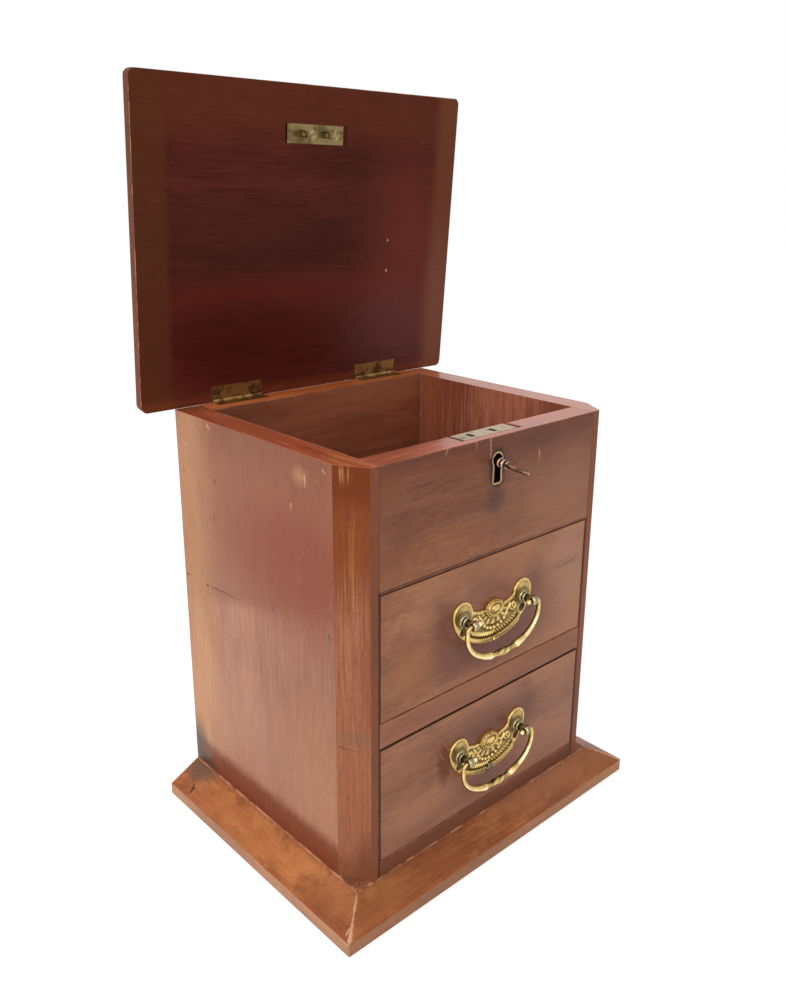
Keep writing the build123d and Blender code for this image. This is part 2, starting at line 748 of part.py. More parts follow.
for name, low, opening in (("upper", opening_1_floor, upper_opening),
                           ("lower", opening_2_floor, lower_opening)):
    bores = handle(f"{name}_handle", low + drawer_seat_gap + handle_rise)
    save(f"{name}_drawer_front", cut_all(drawer(f"{name}_drawer", low, opening), bores))
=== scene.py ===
"""Looks for the tabletop chest of drawers: worn wood, cast brass, and a plain studio.

Lengths are metres in the frame of the solids: +Z up, the front faces -Y. Textures are laid out in millimetres
from the same origin, so a mark's place is its real place on the object. Colours are the red, green and blue
values from 0 to 255 that a picture shows.
"""
import bmesh
import bpy
import json
from math import atan2, cos, hypot, pi, radians, sin, tan
from mathutils import Matrix, Vector
from mathutils.geometry import delaunay_2d_cdt
from mathutils.kdtree import KDTree


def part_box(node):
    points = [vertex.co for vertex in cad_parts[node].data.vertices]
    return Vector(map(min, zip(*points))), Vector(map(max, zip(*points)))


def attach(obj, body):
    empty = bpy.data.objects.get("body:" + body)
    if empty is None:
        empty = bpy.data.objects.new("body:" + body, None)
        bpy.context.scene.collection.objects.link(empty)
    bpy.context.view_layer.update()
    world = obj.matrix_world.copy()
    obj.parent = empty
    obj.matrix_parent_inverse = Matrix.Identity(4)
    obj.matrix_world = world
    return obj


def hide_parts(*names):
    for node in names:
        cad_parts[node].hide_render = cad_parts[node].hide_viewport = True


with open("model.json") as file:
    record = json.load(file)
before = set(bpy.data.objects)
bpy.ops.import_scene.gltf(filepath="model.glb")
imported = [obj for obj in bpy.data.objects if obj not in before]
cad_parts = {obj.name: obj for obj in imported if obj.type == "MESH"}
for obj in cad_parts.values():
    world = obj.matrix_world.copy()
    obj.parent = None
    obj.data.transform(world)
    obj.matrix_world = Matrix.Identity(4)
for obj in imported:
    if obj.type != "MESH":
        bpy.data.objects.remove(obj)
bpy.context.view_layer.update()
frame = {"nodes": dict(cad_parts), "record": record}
MM = 0.001

# Camera: the photograph's viewpoint, fitted to the object's edges
camera_place = Vector((-358.3, -387.8, 382.1)) * MM
camera_azimuth = radians(43.13)
camera_pitch = radians(17.04)
camera_roll = radians(0.59)
image_width = 786
image_height = 999
focal_pixels = 920.19
centre_pixel = (410.29, 467.29)
sensor = 24.0


def add_camera():
    ahead = Vector((sin(camera_azimuth) * cos(camera_pitch), cos(camera_azimuth) * cos(camera_pitch),
                    -sin(camera_pitch)))
    level = Vector((cos(camera_azimuth), -sin(camera_azimuth), 0.0))
    upward = level.cross(ahead)
    right = level * cos(camera_roll) + upward * sin(camera_roll)
    up = upward * cos(camera_roll) - level * sin(camera_roll)
    data = bpy.data.cameras.new("camera")
    data.sensor_fit = "VERTICAL"
    data.sensor_height = sensor
    data.lens = focal_pixels / image_height * sensor
    data.shift_x = (image_width / 2 - centre_pixel[0]) / image_height
    data.shift_y = (centre_pixel[1] - image_height / 2) / image_height
    data.clip_start = 0.01
    camera = bpy.data.objects.new("camera", data)
    camera.matrix_world = Matrix.Translation(camera_place) @ Matrix((right, up, -ahead)).transposed().to_4x4()
    bpy.context.collection.objects.link(camera)
    bpy.context.scene.camera = camera


add_camera()
bpy.context.scene.view_settings.view_transform = "Standard"


def linear(value):
    part = value / 255
    return part / 12.92 if part <= 0.04045 else ((part + 0.055) / 1.055) ** 2.4


def rgb(red, green, blue):
    """Linear colour from the 0 to 255 values that a picture shows."""
    return (linear(red), linear(green), linear(blue), 1.0)


def grey(level):
    return (level, level, level, 1.0)


class Nodes:
    """A node tree, with short calls for the nodes used here."""

    def __init__(self, tree):
        self.tree = tree

    def node(self, kind, fed=None, **settings):
        """New node with its settings, and what feeds its sockets by name or number."""
        made = self.tree.nodes.new("ShaderNode" + kind)
        for name, value in settings.items():
            setattr(made, name, value)
        for socket, value in (fed or {}).items():
            self.feed(made.inputs[socket], value)
        return made

    def feed(self, socket, value):
        """Links a node's output to a socket, or sets the socket to a plain value."""
        if isinstance(value, bpy.types.NodeSocket):
            self.tree.links.new(value, socket)
        elif value is not None:
            socket.default_value = value

    def math(self, operation, a, b=None, c=None, clamp=False):
        return self.node("Math", {0: a, 1: b, 2: c}, operation=operation, use_clamp=clamp).outputs[0]

    def times(self, a, b):
        return self.math("MULTIPLY", a, b)

    def vector(self, operation, a, b=None, scale=None):
        return self.node("VectorMath", {0: a, 1: b, 3: scale}, operation=operation).outputs[0]

    def number(self, operation, a, b=None):
        """A single number from vectors, such as a length."""
        return self.node("VectorMath", {0: a, 1: b}, operation=operation).outputs["Value"]

    def axis(self, letter, vector):
        return self.node("SeparateXYZ", {0: vector}).outputs["XYZ".index(letter)]

    def noise(self, at, scale=1.0, detail=3.0, rough=0.55, distort=0.0):
        return self.node("TexNoise", {"Vector": at, "Scale": scale, "Detail": detail, "Roughness": rough,
                                      "Distortion": distort}).outputs["Fac"]

    def fade(self, value, start, end, low=0.0, high=1.0):
        """Smooth step of a value, from low at start to high at end."""
        return self.node("MapRange", {"Value": value, "From Min": start, "From Max": end, "To Min": low,
                                      "To Max": high}, interpolation_type="SMOOTHSTEP").outputs["Result"]

    def ramp(self, value, stops):
        made = self.node("ValToRGB", {0: value})
        points = made.color_ramp.elements
        while len(points) < len(stops):
            points.new(0.5)
        for point, (place, colour) in zip(points, stops):
            point.position = place
            point.color = colour
        return made.outputs["Color"]

    def mix(self, share, a, b, blend="MIX"):
        return self.node("Mix", {"Factor": share, 6: a, 7: b}, data_type="RGBA", blend_type=blend).outputs[2]

    def bump(self, height, distance):
        return self.node("Bump", {"Strength": 0.4, "Distance": distance, "Height": height}).outputs["Normal"]


looks = {}


class Shader(Nodes):
    """One material, kept in looks under its name."""

    def __init__(self, name, ending=""):
        self.material = looks[name] = bpy.data.materials.new(name + ending)
        self.material.use_nodes = True
        super().__init__(self.material.node_tree)
        self.bsdf = self.tree.nodes["Principled BSDF"]
        self.place = self.vector("SCALE", self.node("TexCoord").outputs["Object"], scale=1000.0)

    def set(self, **sockets):
        names = {"colour": "Base Color", "rough": "Roughness", "metal": "Metallic", "normal": "Normal",
                 "gloss": "Specular IOR Level", "coat": "Coat Weight", "coat_rough": "Coat Roughness"}
        for name, value in sockets.items():
            self.feed(self.bsdf.inputs[names[name]], value)


ALONG = {"X": (1, 0, 0), "Y": (0, 1, 0), "Z": (0, 0, 1)}
PORE = (52, 24, 15)
# Dark colour beside the drawer gaps: painted shade of the gaps, with some grime
GAP_SHADE_AND_GRIME = (44, 24, 16)


class Wood(Shader):
    """Stained hardwood: fibres, pores and a wavy figure along one axis, then stains and wear laid over.

    Its face is an axis, the place along it and the depth that marks reach; marks are then placed by the two
    other coordinates.
    """

    def __init__(self, name, grain, seed, flow=10.0, figure_scale=0.16, face=None):
        super().__init__(name, "_wood")
        self.grain = grain
        self.face = face
        moved = self.vector("ADD", self.place, (seed * 37.0, seed * 53.0, seed * 71.0))
        slow = self.vector("MULTIPLY", moved, self.along(0.35))
        self.cloud = self.fade(self.noise(slow, 0.022, 3.0), 0.32, 0.68)
        bend = self.times(self.math("SUBTRACT", self.noise(slow, 0.022, 1.0), 0.5), flow)
        across = [0.0 if flag else 1.0 for flag in ALONG[grain]]
        waved = self.vector("ADD", moved, self.vector("SCALE", tuple(across), scale=bend))
        self.figure = self.fade(self.noise(self.vector("MULTIPLY", waved, self.along(0.08)), figure_scale,
                                           5.0, 0.65, 0.6), 0.34, 0.66)
        self.fibre = self.fade(self.noise(self.vector("MULTIPLY", waved, self.along(0.03)), 0.9, 4.0, 0.75),
                               0.34, 0.66)
        ticks = self.noise(self.vector("MULTIPLY", waved, self.along(0.10)), 1.6, 1.0)
        self.pores = self.fade(ticks, 0.64, 0.72)
        self.ragged = self.frayed(moved, 0.35, 5.0)
        self.torn = self.frayed(moved, 0.9, 1.3)
        self.speck = self.noise(moved, 0.55, 4.0, 0.7)

    def along(self, share):
        return tuple(share if flag else 1.0 for flag in ALONG[self.grain])

    def frayed(self, at, scale, reach):
        """The place in millimetres, pushed about by up to half the reach."""
        noise = self.node("TexNoise", {"Vector": at, "Scale": scale}).outputs["Color"]
        push = self.vector("SUBTRACT", noise, (0.5, 0.5, 0.5))
        return self.vector("ADD", self.place, self.vector("SCALE", push, scale=reach))

    def grained(self, shades, cloud=0.5, figure=0.4, fibre=0.25, pore=0.35):
        """Base colour from the grain: three linear shades, the darkest first."""
        total = cloud + figure + fibre
        tone = self.times(self.cloud, cloud / total)
        tone = self.math("MULTIPLY_ADD", self.figure, figure / total, tone)
        tone = self.math("MULTIPLY_ADD", self.fibre, fibre / total, tone)
        self.colour = self.ramp(tone, list(zip((0.22, 0.5, 0.78), shades)))
        self.pore_share = pore

    def stain(self, dark, middle, light, *shares):
        self.grained([rgb(*dark), rgb(*middle), rgb(*light)], *shares)

    def plain_stain(self, middle, spread):
        """Base colour of one hue, whose ends are darker and lighter by the spread."""
        self.grained([tuple(min(1.0, channel * share) for channel in rgb(*middle)[:3]) + (1.0,)
                      for share in (1 - spread, 1.0, 1 + spread)])

    def tint(self, share, colour):
        self.colour = self.mix(share, self.colour, rgb(*colour))

    def cover(self, mask, share, colour):
        self.tint(self.times(mask, share), colour)

    def whole(self, pair, third):
        """Three coordinates from two, with one put in along the face's own axis."""
        made = list(pair)
        if len(made) == 2:
            made.insert("XYZ".index(self.face[0]), third)
        return made

    def spot(self, centre, radii, soft=0.8):
        """1 inside an ellipsoid and 0 outside, in millimetres, with a soft and uneven edge."""
        offset = self.vector("SUBTRACT", self.ragged, self.whole(centre, self.face[1]))
        far = self.number("LENGTH", self.vector("DIVIDE", offset, self.whole(radii, self.face[2])))
        return self.fade(far, 1.0 + soft, 1.0 - soft)

    def patches(self, *rows):
        """Soft-edged stains: centre, radii, share, colour, and softness if it isn't the usual."""
        for centre, radii, share, colour, *soft in rows:
            self.cover(self.spot(centre, radii, *soft), share, colour)

    def streaks(self, centre, radii, share, colour):
        """A stain broken up along the fibres."""
        here = self.times(self.spot(centre, radii, 0.6), self.fade(self.fibre, 0.35, 0.8))
        self.cover(here, share, colour)

    def line(self, start, end, half_width, place):
        """1 on a straight scratch between two points, thinning towards its end."""
        start, end = (self.whole(point, self.face[1]) for point in (start, end))
        run = Vector(end) - Vector(start)
        offset = self.vector("SUBTRACT", place, start)
        share = self.math("DIVIDE", self.number("DOT_PRODUCT", offset, tuple(run)), run.length_squared,
                          clamp=True)
        off_line = self.number("LENGTH", self.vector("SUBTRACT", offset,
                                                     self.vector("SCALE", tuple(run), scale=share)))
        width = self.math("MULTIPLY_ADD", share, -0.6 * half_width, half_width)
        return self.fade(self.math("DIVIDE", off_line, width), 1.3, 0.5)

    def scratches(self, colour, share, rows, place=None):
        """Each row is the coordinates of a scratch's start, those of its end, and its half width."""
        for *ends, half_width in rows:
            half = len(ends) // 2
            self.cover(self.line(ends[:half], ends[half:], half_width, place or self.torn), share, colour)

    def band(self, letter, start, end, place=None):
        """Fades in along one axis between two places in millimetres."""
        return self.fade(self.axis(letter, place or self.ragged), start, end)

    def strip(self, letter, start, end, share, colour, place=None):
        self.cover(self.band(letter, start, end, place), share, colour)

    def scuffs(self, share, colour, run=(0.3, 1.0, 0.6)):
        """Scattered hairline scratches."""
        level = self.noise(self.vector("MULTIPLY", self.place, run), 0.10, 2.0)
        hair = self.fade(self.math("ABSOLUTE", self.math("SUBTRACT", level, 0.5)), 0.004, 0.0)
        here = self.fade(self.noise(self.place, 0.08, 1.0), 0.52, 0.64)
        self.cover(self.times(hair, here), share, colour)

    def blotches(self, share, colour, scale=0.05):
        """Uneven clouds of stain, a little longer along the grain."""
        here = self.noise(self.vector("MULTIPLY", self.ragged, self.along(0.6)), scale, 5.0, 0.65)
        self.cover(self.fade(here, 0.5, 0.68), share, colour)

    def done(self, roughness=0.42, gloss=0.4, coat=0.0):
        """Pores and bump over the finished colour, and a varnish of the given weight."""
        self.cover(self.pores, self.pore_share, PORE)
        fine = self.ramp(self.speck, ((0.3, grey(0.8)), (0.7, grey(1.0))))
        self.colour = self.mix(0.5, self.colour, fine, "MULTIPLY")
        rough = self.math("MULTIPLY_ADD", self.figure, 0.12, roughness - 0.06)
        height = self.math("SUBTRACT", self.times(self.fibre, 0.4), self.pores)
        self.set(colour=self.colour, rough=rough, gloss=gloss, coat=coat, coat_rough=0.12,
                 normal=self.bump(height, 0.05 * MM))


def side_wood(name, hand):
    """Outside of a case side; the hand is -1 for the left one and 1 for the right."""
    s = Wood(name, "Z", 0.3 + hand, 6.0, face=("X", hand * 100, 30))
    s.stain((146, 94, 70), (160, 107, 83), (174, 121, 96), 0.4, 0.2, 0.4, 0.25)
    # Painted reflection: darker above a slanting line across the upper side, where the varnish reflects a dim
    # room instead of the white floor
    leaning = s.math("MULTIPLY_ADD", s.axis("Y", s.ragged), 0.25, s.axis("Z", s.ragged))
    s.cover(s.fade(leaning, 153, 164), 0.68, (136, 80, 52))
    s.patches(((-30, 194), (64, 34), 0.85, (130, 60, 36), 0.7), ((-40, 70), (26, 40), 0.5, (168, 112, 76)))
    s.strip("Z", 218, 256, 0.5, (116, 60, 36))
    s.strip("Y", 45, 78, 0.8, (176, 122, 82))
    s.streaks((78, 75), (12, 60), 0.5, (200, 150, 108))
    s.patches(((74, 68), (20, 46), 0.45, (206, 150, 108)), ((20, 66), (60, 30), 0.35, (176, 124, 98)))
    # Darker towards the foot and into the corner over the base: painted shade near the base, with some dirt
    s.strip("Z", 42, 32, 0.96, (116, 52, 24))
    s.strip("Z", 27, 19, 0.4, (92, 40, 22))
    s.patches(
        ((86, 30), (10, 18), 0.8, (92, 74, 58), 0.6), ((76, 22), (9, 4), 0.8, (52, 36, 24), 0.6),
        ((-31, 243), (5, 4), 0.5, (190, 134, 96), 0.9))
    s.scuffs(0.5, (192, 138, 108))
    s.scuffs(0.35, (98, 52, 36), (0.2, 1.0, 0.25))
    s.scratches((210, 158, 120), 0.65, (
        (-35.5, 244, -35.7, 238, 0.7), (-50, 250.5, -53, 249, 0.6), (-23, 226, -23.5, 223, 0.7),
        (55, 252, 53, 250, 1.1), (81, 236, 79, 236.4, 0.5)))
    s.scratches((76, 38, 26), 0.8, (
        (57, 152.3, 29, 153.9, 0.55), (65, 151.5, 63, 151.5, 1.0), (59.5, 152, 58.5, 152, 0.9),
        (88, 151.5, 85, 151.3, 0.9), (50, 221, 50.4, 218, 0.9), (53, 199, 53.3, 195, 0.7),
        (-3, 162, -4.2, 157, 0.6), (-53, 163, -54, 160, 0.8), (85, 219, 83, 219.3, 0.5)))
    s.blotches(0.2, (132, 80, 56), 0.05)
    s.done(0.42, 0.22, 0.04)


def corner_wood():
    """Slanting cuts at the front corners, worn to gold near the top."""
    s = Wood("corner", "Z", 1.9, 3.0, 0.3, ("X", 0, 130))
    s.stain((130, 74, 50), (146, 87, 61), (160, 102, 75), 0.4, 0.15, 0.5, 0.4)
    s.strip("Z", 132, 96, 0.45, (160, 101, 74))
    s.strip("Z", 168, 212, 0.85, (120, 56, 19))
    s.strip("Z", 228, 244, 0.8, (106, 45, 15))
    for centre, radii, share in (((-62.5, 250), (3.0, 5), 1.0), ((-66, 208), (3.4, 26), 0.2),
                                 ((-64, 190), (4, 14), 0.25)):
        s.streaks(centre, radii, share, (198, 142, 86))
    s.patches(
        ((-72, 140), (4, 44), 0.5, (128, 66, 50), 0.6), ((-72, 34), (7, 16), 0.6, (88, 48, 32), 0.6),
        ((-66, 107), (14, 5.5), 0.55, (128, 92, 70), 0.35))
    s.strip("Z", 40, 24, 0.55, (110, 60, 36))
    s.scratches((88, 46, 30), 0.8, (
        (-99.6, -58.6, 101, -94, -67.5, 99.4, 0.45), (99.6, -58.6, 141, 94, -67.5, 139.4, 0.45)))
    s.done(0.45, 0.12)


FRONT = ("Y", -74, 9)


def top_panel_wood():
    s = Wood("top_panel", "X", 1.1, 34.0, face=FRONT)
    s.stain((118, 67, 43), (139, 82, 52), (158, 99, 64), 0.55, 0.12, 0.35, 0.22)
    s.blotches(0.35, (100, 56, 43), 0.05)
    s.blotches(0.3, (160, 102, 64), 0.034)
    # Painted shade of the gap over the upper drawer, with some grime: a dark strip just above the gap
    s.strip("Z", 189.6, 188.9, 0.85, (40, 22, 15), s.place)
    s.patches(((60, 210), (44, 26), 0.6, (158, 106, 80)), ((-20, 205), (34, 10), 0.35, (148, 92, 62)))
    s.strip("Z", 226, 256, 0.6, (96, 40, 22))
    for centre, radii, share in (((-48, 236), (22, 4.5), 0.8), ((-62, 226), (16, 3), 0.5),
                                 ((30, 247), (20, 3.5), 0.5), ((-76, 214), (10, 26), 0.35)):
        s.streaks(centre, radii, share, (68, 36, 28))
    s.patches(
        ((-1, 219), (7, 7), 0.6, (70, 48, 40), 0.6), ((0, 238), (9, 13), 0.45, (84, 46, 36), 0.6),
        ((0, 237), (6.4, 11.2), 0.85, (48, 26, 18), 0.15))
    s.scuffs(0.35, (176, 118, 88))
    s.scratches((206, 146, 114), 0.7, (
        (-6.1, 256, -5.6, 243, 0.7), (-38, 256, -40, 251, 0.6), (35.2, 240, 35.5, 234, 0.7),
        (-17, 255, -17, 250, 0.4)))
    s.done(0.42, 0.22, 0.05)


def upper_drawer_wood():
    s = Wood("upper_drawer", "X", 2.7, 30.0, face=FRONT)
    s.stain((138, 84, 55), (157, 100, 68), (176, 118, 81), 0.55, 0.12, 0.35, 0.2)
    s.blotches(0.35, (114, 66, 50), 0.05)
    s.blotches(0.4, (178, 116, 70), 0.034)
    # The dark purplish patches round the handle, at (6, 131), (40, 148), (-2, 152), (-38, 154) and (36, 163),
    # are painted shadow of the handle
    s.patches(
        ((-20, 180), (62, 7), 0.45, (160, 104, 68), 0.7), ((-58, 138), (17, 11), 0.6, (170, 108, 62), 0.7),
        ((68, 158), (22, 34), 0.65, (172, 124, 98)), ((6, 131), (46, 14), 0.7, (102, 54, 46)),
        ((40, 148), (16, 14), 0.4, (114, 66, 56)), ((-2, 152), (44, 24), 0.45, (106, 56, 50), 0.7),
        ((-38, 154), (9, 15), 0.5, (92, 50, 42)), ((36, 163), (8, 10), 0.4, (98, 54, 44)))
    s.streaks((64, 164), (14, 3), 0.6, (82, 50, 40))
    s.scuffs(0.3, (190, 134, 100))
    s.done(0.42, 0.22, 0.08)


def lower_drawer_wood():
    s = Wood("lower_drawer", "X", 4.9, 30.0, face=FRONT)
    s.stain((138, 85, 57), (158, 102, 71), (176, 118, 84), 0.55, 0.12, 0.35, 0.2)
    s.blotches(0.35, (112, 66, 52), 0.05)
    s.blotches(0.3, (170, 114, 80), 0.034)
    # The dark purplish patches round the handle, at (6, 80), (10, 44) and (36, 77), are painted shadow of the
    # handle
    s.patches(
        ((-58, 45), (24, 14), 0.4, (152, 100, 74)), ((66, 60), (20, 30), 0.35, (152, 106, 82)),
        ((6, 80), (38, 12), 0.6, (96, 54, 44)), ((10, 44), (40, 11), 0.45, (108, 62, 52)),
        ((36, 77), (8, 10), 0.4, (98, 56, 46)), ((-35.5, 68), (5, 13), 0.8, (108, 54, 24), 0.5))
    s.scratches((176, 122, 78), 0.6, ((-36, 82, -31, 74, 0.6), (-39, 76, -36, 71, 0.5)))
    s.scuffs(0.3, (178, 126, 98))
    s.done(0.42, 0.22, 0.08)


def base_wood(name, grain, seed, facing):
    """Slope of the base; facing is the axis that the slope faces along."""
    s = Wood(name, grain, seed, 8.0, 0.10, (facing, -84 if facing == "Y" else -110, 20))
    s.stain((146, 80, 42), (168, 97, 52), (188, 116, 66), 0.7, 0.15, 0.3, 0.2)
    s.blotches(0.7, (130, 68, 34), 0.055)
    s.blotches(0.4, (204, 132, 76), 0.08)
    s.blotches(0.4, (120, 64, 36), 0.18)
    s.strip("Z", 16.6, 19.2, 0.5, (126, 66, 38))
    if facing == "Y":
        s.patches(
            ((56, 17), (40, 7), 0.5, (150, 96, 76)), ((104, 13), (20, 9), 0.5, (140, 82, 46)),
            ((-84, 16), (18, 7), 0.4, (172, 108, 62)))
    else:
        s.patches(
            ((-104, 80, 18), (9, 13, 7), 0.75, (98, 78, 60), 0.6), ((-66, 12), (18, 9), 0.4, (140, 82, 52)),
            ((10, 12), (26, 5), 0.35, (190, 118, 66)))
        s.scratches((58, 32, 22), 0.85, (
            (-112.7, 74.8, 12.3, -114.6, 72.6, 11.3, 0.8), (-114.4, 72.8, 11.4, -117.6, 72.0, 9.7, 1.5)))
    low = s.times(s.band("Z", 9.8, 8.9), s.fade(s.noise(s.place, 0.05, 3.0), 0.42, 0.6))
    s.cover(low, 0.5, (150, 70, 32))
    s.scuffs(0.3, (206, 148, 104))
    grit = s.fade(s.noise(s.place, 0.7, 2.0), 0.70, 0.76)
    s.cover(s.times(grit, s.band("Z", 12, 8.6)), 0.8, (70, 36, 22))
    for hand in (-1, 1):
        s.scratches((222, 168, 134), 0.8, (
            (hand * 118, -89.3, 9.5, hand * 112, -84.2, 12.6, 1.5),
            (hand * 120, -91.0, 8.4, hand * 106, -79.1, 15.8, 1.0),
            (hand * 107, -80.0, 15.3, hand * 100, -74.0, 19.0, 0.9),
            (hand * 117, -85.5, 10.0, hand * 114, -84.5, 11.6, 0.7)))
    s.done(0.45, 0.18, 0.03)


def lid_wood():
    """Underside of the lid: dark and red, with paler margins where it lies outside the case."""
    s = Wood("lid", "X", 6.2, 10.0, face=("Y", 92, 30))
    s.stain((72, 28, 20), (85, 35, 26), (98, 42, 32), 0.5, 0.2, 0.4, 0.4)
    # The last patch, pinkish grey at the lower right, is a painted reflection: pale haze on the varnish
    s.patches(
        ((-20, 88, 354), (112, 24), 0.45, (58, 24, 21)), ((-30, 90, 318), (110, 10), 0.65, (100, 32, 23)),
        ((-36, 286), (84, 24), 0.65, (74, 18, 13), 0.6), ((80, 340), (34, 60), 0.7, (116, 50, 38)),
        ((68, 284), (36, 28), 0.6, (102, 58, 58), 0.9))
    s.strip("Z", 398, 420, 0.7, (98, 46, 27))
    s.strip("X", 97, 108, 0.75, (118, 66, 40))
    s.strip("X", -98, -103, 0.8, (92, 47, 26))
    s.patches(((112, 300), (12, 44), 0.6, (134, 82, 66)))
    s.strip("Z", 263, 257, 0.5, (128, 62, 34))
    s.scuffs(0.4, (128, 82, 56), (0.1, 1.0, 1.0))
    s.scratches((150, 102, 70), 0.5, (
        (-118, 78, 428, -100, 78, 429, 0.4), (-112, 78, 421, -96, 78, 421.5, 0.5),
        (-116, 79, 413, -104, 79, 412.6, 0.5), (-120, 79, 405, -108, 79, 405, 0.35),
        (-114, 80, 396, -109, 80, 396, 0.7), (34, 79, 409, 41, 79, 409.5, 0.9)))
    s.scratches((206, 178, 150), 0.9, (
        (62.5, 85, 346.8, 62.7, 85, 346.8, 1.1), (62.5, 87, 326.9, 62.7, 87, 326.9, 1.1)), place=s.place)
    s.done(0.42, 0.05)


def plain_wood(name, grain, seed, middle, roughness=0.5, gloss=0.2, coat=0.0, spread=0.22, gap_shade_and_grime=None):
    """A quieter board: one hue, from darker to lighter along its grain, with painted gap shade and grime
    towards some heights.

    The painted shade and grime are given as the heights where they start and where they are full.
    """
    s = Wood(name, grain, seed, 10.0)
    s.plain_stain(middle, spread)
    if gap_shade_and_grime:
        s.strip("Z", *gap_shade_and_grime, 0.85, GAP_SHADE_AND_GRIME, s.place)
    s.done(roughness, gloss, coat)


def inner_wood():
    """Inside of the sides and the front: upright scratches, more orange towards the back, and a pale line at
    its rear edge.
    """
    s = Wood("inner", "Z", 5.5, 8.0, face=("X", 84, 30))
    s.stain((128, 66, 47), (143, 77, 56), (156, 90, 67), 0.7, 0.2, 0.12, 0.2)
    s.blotches(0.45, (122, 50, 35), 0.06)
    s.scuffs(0.5, (186, 128, 102), (1.0, 1.0, 0.12))
    s.strip("Y", 30, 72, 0.4, (164, 86, 48))
    s.streaks((0, 225), (60, 40), 0.5, (182, 118, 92))
    s.strip("Y", 73.4, 74.4, 0.7, (160, 126, 96))
    s.done(0.5, 0.15)


def rim_wood():
    """Top edges of the sides: red, worn to gold at the front left corner."""
    s = Wood("rim", "Y", 3.3, 6.0, face=("Z", 255, 9))
    s.stain((164, 78, 50), (190, 98, 62), (208, 122, 80), 0.5, 0.2, 0.4, 0.3)
    s.strip("X", 82, 84, 0.8, (198, 114, 82))
    s.streaks((-93, -55), (5, 11), 0.7, (206, 134, 78))
    s.patches(((-93, 84), (10, 10), 0.5, (120, 70, 44), 0.6))
    s.scratches((206, 140, 100), 0.6, ((-84.6, 60, -84.6, -50, 0.8), (-99.3, 20, -99.3, -50, 0.6)))
    s.done(0.36, 0.35, 0.3)


def stile_wood():
    """Front edges of the case sides: darker along the gap beside the drawers, a painted shade of the gap with
    some grime, and little of it above them.
    """
    s = Wood("strip", "Z", 8.8, 10.0)
    s.plain_stain((134, 74, 46), 0.2)
    s.strip("Z", 186, 194, 0.7, (130, 73, 45))
    # Painted shade of the gap, with some grime: darker towards the inner edge, mostly below the drawers' top
    gap = s.fade(s.math("ABSOLUTE", s.axis("X", s.place)), 85.6, 84.7)
    s.tint(s.times(gap, s.fade(s.axis("Z", s.place), 191, 188, 0.12, 0.85)), GAP_SHADE_AND_GRIME)
    s.done(0.45, 0.2, 0.03)


def worn_edge(name, seed, base, pale, share):
    """Arris: a base colour, rubbed through to pale wood in places; the base is the board's own colour, but
    for the drawers a painted shade.
    """
    s = Wood(name, "X", seed, 4.0)
    s.plain_stain(base, 0.15)
    s.cover(s.fade(s.noise(s.place, 0.09, 4.0, 0.7), 0.42, 0.62), share, pale)
    s.done(0.42, 0.3)


fine_bump = 0.03 * MM


def sheet_metal(name, bright, dull, roughness, share=(0.42, 0.62)):
    """Sheet metal with clouds of tarnish and a little grit."""
    s = Shader(name)
    patina = s.noise(s.place, 0.18, 5.0, 0.6)
    colour = s.mix(s.fade(patina, *share), rgb(*bright), rgb(*dull))
    fine = s.ramp(s.noise(s.place, 1.1, 4.0, 0.7), ((0.35, grey(0.7)), (0.6, grey(1.0))))
    s.set(colour=s.mix(0.6, colour, fine, "MULTIPLY"), metal=1.0,
          rough=s.math("MULTIPLY_ADD", patina, 0.3, roughness - 0.12),
          normal=s.bump(s.noise(s.place, 2.2, 3.0), fine_bump))


def cast_metal(name, hollow, middle, bright, smoothest, painted_highlight=None):
    """Cast metal, bright where it stands proud and dark with patina in its hollows; the proud value also
    carries painted highlights and shade.
    """
    s = Shader(name)
    proud = s.node("Attribute", attribute_name="proud").outputs["Fac"]
    patina = s.math("SUBTRACT", s.noise(s.place, 0.3, 4.0, 0.6), 0.5)
    level = s.math("MULTIPLY_ADD", patina, 0.7, proud, clamp=True)
    stops = ((0.05, hollow), (0.45, middle), (0.86, bright), (1.0, painted_highlight or bright))
    s.set(colour=s.ramp(level, [(place, rgb(*colour)) for place, colour in stops]), metal=1.0,
          rough=s.fade(level, 0.0, 1.0, 0.5, smoothest), normal=s.bump(s.noise(s.place, 2.5, 3.0), fine_bump))


bodies = frame["record"]["behaviour"]["bodies"]
body_of_node = {node: body for body, nodes in bodies.items() for node in nodes}


def weigh_normals(mesh, limit):
    """Shades each corner by its faces within the angle, weighed by area, so that flat faces look flat."""
    around = [[] for _ in mesh.vertices]
    for face in mesh.polygons:
        for index in face.vertices:
            around[index].append((face.normal.copy(), face.area))
    near = cos(radians(limit))
    normals = []
    for face in mesh.polygons:
        for index in face.vertices:
            total = Vector((0.0, 0.0, 0.0))
            for normal, area in around[index]:
                if normal.dot(face.normal) > near:
                    total += normal * area
            normals.append(total.normalized() if total.length > 0 else face.normal.copy())
    mesh.normals_split_custom_set(normals)


def show(name, work, node, materials, limit=40.0, replaces=True):
    """Puts a finished mesh in the scene on a node's body, in place of that node's solids."""
    mesh = bpy.data.meshes.new(name)
    work.normal_update()
    work.to_mesh(mesh)
    work.free()
    for material in materials:
        mesh.materials.append(looks[material])
    mesh.shade_smooth()
    weigh_normals(mesh, limit)
    piece = bpy.data.objects.new(name, mesh)
    bpy.context.collection.objects.link(piece)
    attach(piece, body_of_node[node])
    if replaces:
        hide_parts(node)
    return piece


